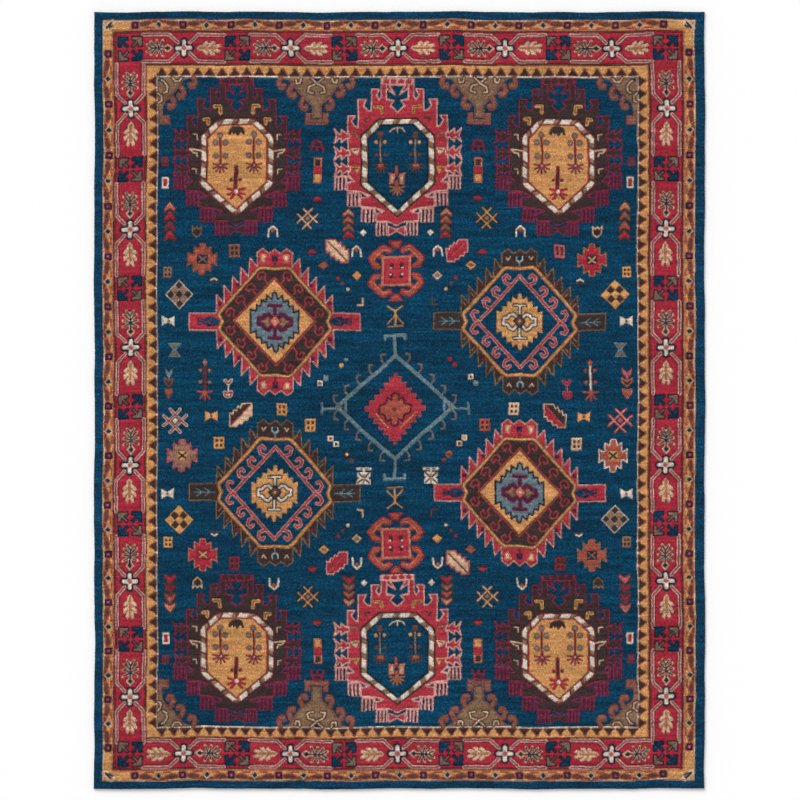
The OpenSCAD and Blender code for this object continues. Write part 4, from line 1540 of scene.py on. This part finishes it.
def quilt(name, upper, lower):
    """A closed sheet between two surfaces, each an array of rows and columns of points, in mm."""
    rows, columns = upper.shape[:2]
    count = rows * columns
    number = np.arange(count).reshape(rows, columns)
    a, b, c, d = number[:-1, :-1], number[:-1, 1:], number[1:, 1:], number[1:, :-1]
    over = np.stack([a, b, c, d], -1).reshape(-1, 4)
    rim = np.concatenate([number[0, :-1], number[:-1, -1], number[-1, :0:-1], number[:0:-1, 0]])
    after = np.roll(rim, -1)
    sides = np.stack([rim + count, after + count, after, rim], -1)
    faces = np.concatenate([over, over[:, ::-1] + count, sides])
    points = np.concatenate([upper.reshape(-1, 3), lower.reshape(-1, 3)])
    points = points + sway(points[:, 0], points[:, 1])
    return smooth_piece(name, points, faces.tolist())


def smooth_piece(name, points, faces):
    """A smooth-shaded mesh in the scene, from points in millimetres."""
    mesh = bpy.data.meshes.new(name)
    mesh.from_pydata((np.array(points) / 1000).tolist(), [], faces)
    mesh.shade_smooth()
    return placed(name, mesh)


def joined(name, sheets):
    """Several pieces' meshes as one piece."""
    points = []
    faces = []
    for sheet in sheets:
        start = len(points)
        points += [tuple(1000 * c for c in v.co) for v in sheet.data.vertices]
        faces += [tuple(start + v for v in face.vertices) for face in sheet.data.polygons]
        bpy.data.objects.remove(sheet)
    return smooth_piece(name, points, faces)


def stops(length, step, rim):
    """Stations along a length: close together near both ends, where the edge rounds off."""
    inner = np.linspace(rim, length - rim, max(2, round(length / step)))
    start = rim * np.array([0, 0.12, 0.4])
    return np.concatenate([start, inner, length - start[::-1]])


def grid(low, high, step, rim, inset=0):
    """Stations over a flat box, less an inset on each side."""
    return np.meshgrid(*(low[axis] + inset + stops(high[axis] - low[axis] - 2 * inset, step, rim)
                         for axis in (0, 1)))


def limits(node):
    """The low and high corner of a CAD node, in millimetres."""
    return (1000 * np.array(corner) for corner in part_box(node))


def slab(name, node, material, step=40, rim=2, wrinkle=0.0):
    """A flat layer over its CAD node's box, with rounded edges and a slightly wavy underside."""
    low, high = limits(node)
    x, y = grid(low, high, step, rim)
    swell = np.sqrt(1 - (1 - np.clip(from_rim(x, y, low, high) / rim, 0, 1)) ** 2)
    half = (high[2] - low[2]) / 2
    bulge = half * (0.3 + 0.7 * swell)
    wave = wrinkle * np.clip(0.5 + 0.5 * smooth_noise(x.shape, 6), 0, 1) * swell
    middle = low[2] + half
    sheet = quilt(name, np.stack([x, y, middle + bulge], -1), np.stack([x, y, middle - bulge + wave], -1))
    sheet.data.materials.append(material)
    return stand_for(sheet, node)


def edge_frame(quarter):
    """Half the length of one of the rug's edges, its distance from the middle, and its two directions:
    lengthwise and inward."""
    half_w, half_l = list(limits("primary_cloth"))[1][:2]
    half, depth = (half_l, half_w) if quarter % 2 else (half_w, half_l)
    angle = quarter * math.pi / 2
    along = np.array([math.cos(angle), math.sin(angle)])
    inward = np.array([-math.sin(angle), math.cos(angle)])
    return half, depth, along, inward


def edge_strip(name, quarter, section, thick, step):
    """A strip along one edge of the rug, mitred at its ends. The section lists (inset, z, way), where
    way is the direction, in turns, in which the upper face lies from the strip's middle."""
    half, depth, along, inward = edge_frame(quarter)
    share = stops(2, step / half, 0.004) - 1
    sides = []
    for sign in (1, -1):
        rows = []
        for inset, z, way in section:
            lean = np.array([math.cos(math.tau * way), math.sin(math.tau * way)]) * thick / 2 * sign
            across = inset + lean[0]
            plan = share[:, None] * (half - across) * along + (across - depth) * inward
            rows.append(np.column_stack([plan, np.full(len(share), z + lean[1])]))
        sides.append(np.array(rows))
    return quilt(name, *sides)


ABOVE = 0.25  # the way of an upper face that lies straight above its strip's middle
TAPE_THICK = 0.72
STITCH_LONG = 5
STITCH_PITCH = 8
STITCH_RADIUS = 0.24
STITCH_RINGS = 5
STITCH_SIDES = 6


def stitch(start, along):
    """One sewn stitch lying on the tape's underside: a low, rounded bead of thread."""
    points = []
    for i in range(STITCH_RINGS):
        share = i / (STITCH_RINGS - 1)
        swell = STITCH_RADIUS * (0.25 + 0.75 * math.sin(math.pi * share))
        for j in range(STITCH_SIDES):
            angle = math.tau * j / STITCH_SIDES
            side = np.array([-along[1], along[0]]) * math.cos(angle) * swell
            plan = start + along * STITCH_LONG * share + side
            points.append((plan[0], plan[1], STITCH_RADIUS + math.sin(angle) * swell))
    last = STITCH_SIDES * (STITCH_RINGS - 1)
    faces = [tuple(range(STITCH_SIDES - 1, -1, -1)), tuple(range(last, last + STITCH_SIDES))]
    for i in range(0, last, STITCH_SIDES):
        for j in range(STITCH_SIDES):
            k = (j + 1) % STITCH_SIDES
            faces.append((i + j, i + k, i + STITCH_SIDES + k, i + STITCH_SIDES + j))
    return points, faces


def tapes():
    """The four tapes under the rug's edge, each with its two rows of stitches."""
    width = 1000 * (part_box("primary_cloth")[1].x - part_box("backing_cloth")[1].x)
    profile = [(0.5, 0.55), (1.2, 0.58), (width * 0.25, 0.6), (width / 2, 0.58), (width * 0.75, 0.6),
               (width - 1.2, 0.58), (width - 0.5, 0.55)]
    section = [(inset, z, ABOVE) for inset, z in profile]
    for quarter, node in enumerate(("tape_foot", "tape_right", "tape_head", "tape_left")):
        strip = edge_strip("strip", quarter, section, TAPE_THICK, 20)
        half, depth, along, inward = edge_frame(quarter)
        points = []
        faces = []
        for inset in (4, width - 4):
            run = half - inset - 3
            for place in np.arange(-run, run - STITCH_LONG, STITCH_PITCH):
                start = along * (place + rng.uniform(-0.4, 0.4))
                start = start + inward * (inset - depth + rng.uniform(-0.3, 0.3))
                more, beads = stitch(start + sway(*start)[:2], along)
                faces += [tuple(len(points) + v for v in bead) for bead in beads]
                points += more
        tape = joined(node + "_twill", [strip, smooth_piece("thread", points, faces)])
        tape.data.materials.append(cotton("cotton_twill", (0.36, 0.28, 0.19), 900, 45))
        stand_for(tape, node)


CANVAS_THICK = 0.8
CANVAS_INSET = 0.7  # of the flat part from the CAD node's sides, which the rounded edge reaches
HEM_BEND = [(1.4, 0.04, 0.2), (0.7, 0.3, 0.1), (0.42, 0.9, 0.0), (0.42, 1.5, 0.0), (0.6, 2.0, -0.06),
            (1.1, 2.17, -0.18), (3, 2.2, -ABOVE)]  # inset, height over the hem, and the upper face's way


def primary():
    """The tufted canvas: a flat sheet whose edges turn down, round and under into a hem."""
    low, high = limits("primary_cloth")
    hem = high[0] - 1000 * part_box("scrim_net")[1].x
    x, y = grid(low, high, 40, 3, CANVAS_INSET)
    top = np.stack([x, y, x * 0 + high[2]], -1)
    sheet = quilt("canvas", top, top - (0, 0, CANVAS_THICK))
    z = low[2] + CANVAS_THICK / 2
    section = [(inset, z, ABOVE) for inset in (hem - 0.2, hem * 0.66, hem * 0.33, 3)]
    section += [(inset, z + rise, way) for inset, rise, way in HEM_BEND]
    strips = [edge_strip("hem", quarter, section, CANVAS_THICK, 30) for quarter in range(4)]
    canvas = joined("primary_cloth_canvas", [sheet] + strips)
    canvas.data.materials.append(cotton("cotton_canvas", (0.62, 0.56, 0.44), 700))
    stand_for(canvas, "primary_cloth")


def layers():
    """Everything under the pile, from the backing cloth up."""
    weave = slab("backing_cloth_weave", "backing_cloth",
                 cotton("cotton_plain_weave", (0.66, 0.60, 0.49), 620), 16, 2.5, 0.25)
    tapes()
    slab("adhesive_coat_film", "adhesive_coat", latex())
    net = slab("scrim_net_weave", "scrim_net", cotton("open_scrim", (0.70, 0.68, 0.60), 300))
    slab("latex_coat_film", "latex_coat", latex())
    primary()


# ---- Scene -----------------------------------------------------------------------------------

FRAME_SHARE = 1.3101  # width of the picture over the width of the rug
OFF_CENTRE = (0.0019, 0.0011)  # metres from the rug's middle to the picture's
FLOOR_REACH = 15  # metres from the middle


def make_camera():
    """A long lens straight above the rug, framed as a catalogue shot."""
    data = bpy.data.cameras.new("camera")
    data.lens = 180
    data.sensor_width = 36
    data.clip_end = 100
    camera = placed("camera", data)
    span = (cloth.right - cloth.left) / 1000 * FRAME_SHARE
    camera.location = (*OFF_CENTRE, span * data.lens / data.sensor_width + PILE_TOP / 1000)
    bpy.context.scene.camera = camera


def make_floor():
    """A plain white studio floor."""
    corners = [(x * FLOOR_REACH, y * FLOOR_REACH, 0) for x, y in ((-1, -1), (1, -1), (1, 1), (-1, 1))]
    mesh = bpy.data.meshes.new("floor")
    mesh.from_pydata(corners, [], [(0, 1, 2, 3)])
    material, tree, shader = new_material("studio_floor", 0.9, 0.0)
    shader.inputs["Base Color"].default_value = (1, 1, 1, 1)
    mesh.materials.append(material)
    floor = placed("floor", mesh)
    floor.location.z = -0.0005


def make_light():
    """An even white room with one large soft lamp from the upper left."""
    world = bpy.data.worlds.new("studio")
    bpy.context.scene.world = world
    world.use_nodes = True
    background = world.node_tree.nodes["Background"]
    background.inputs["Color"].default_value = (1, 1, 1, 1)
    background.inputs["Strength"].default_value = 0.64
    data = bpy.data.lights.new("key", "SUN")
    data.energy = 1.75
    data.angle = math.radians(25)
    placed("key", data).rotation_euler = (math.radians(-42), math.radians(-30), 0)


COLOURS = tuft_colours()
CORNERS = tuft_corners()
make_camera()
make_floor()
make_light()
layers()
pile_pieces()
bpy.context.scene.view_settings.view_transform = "Standard"
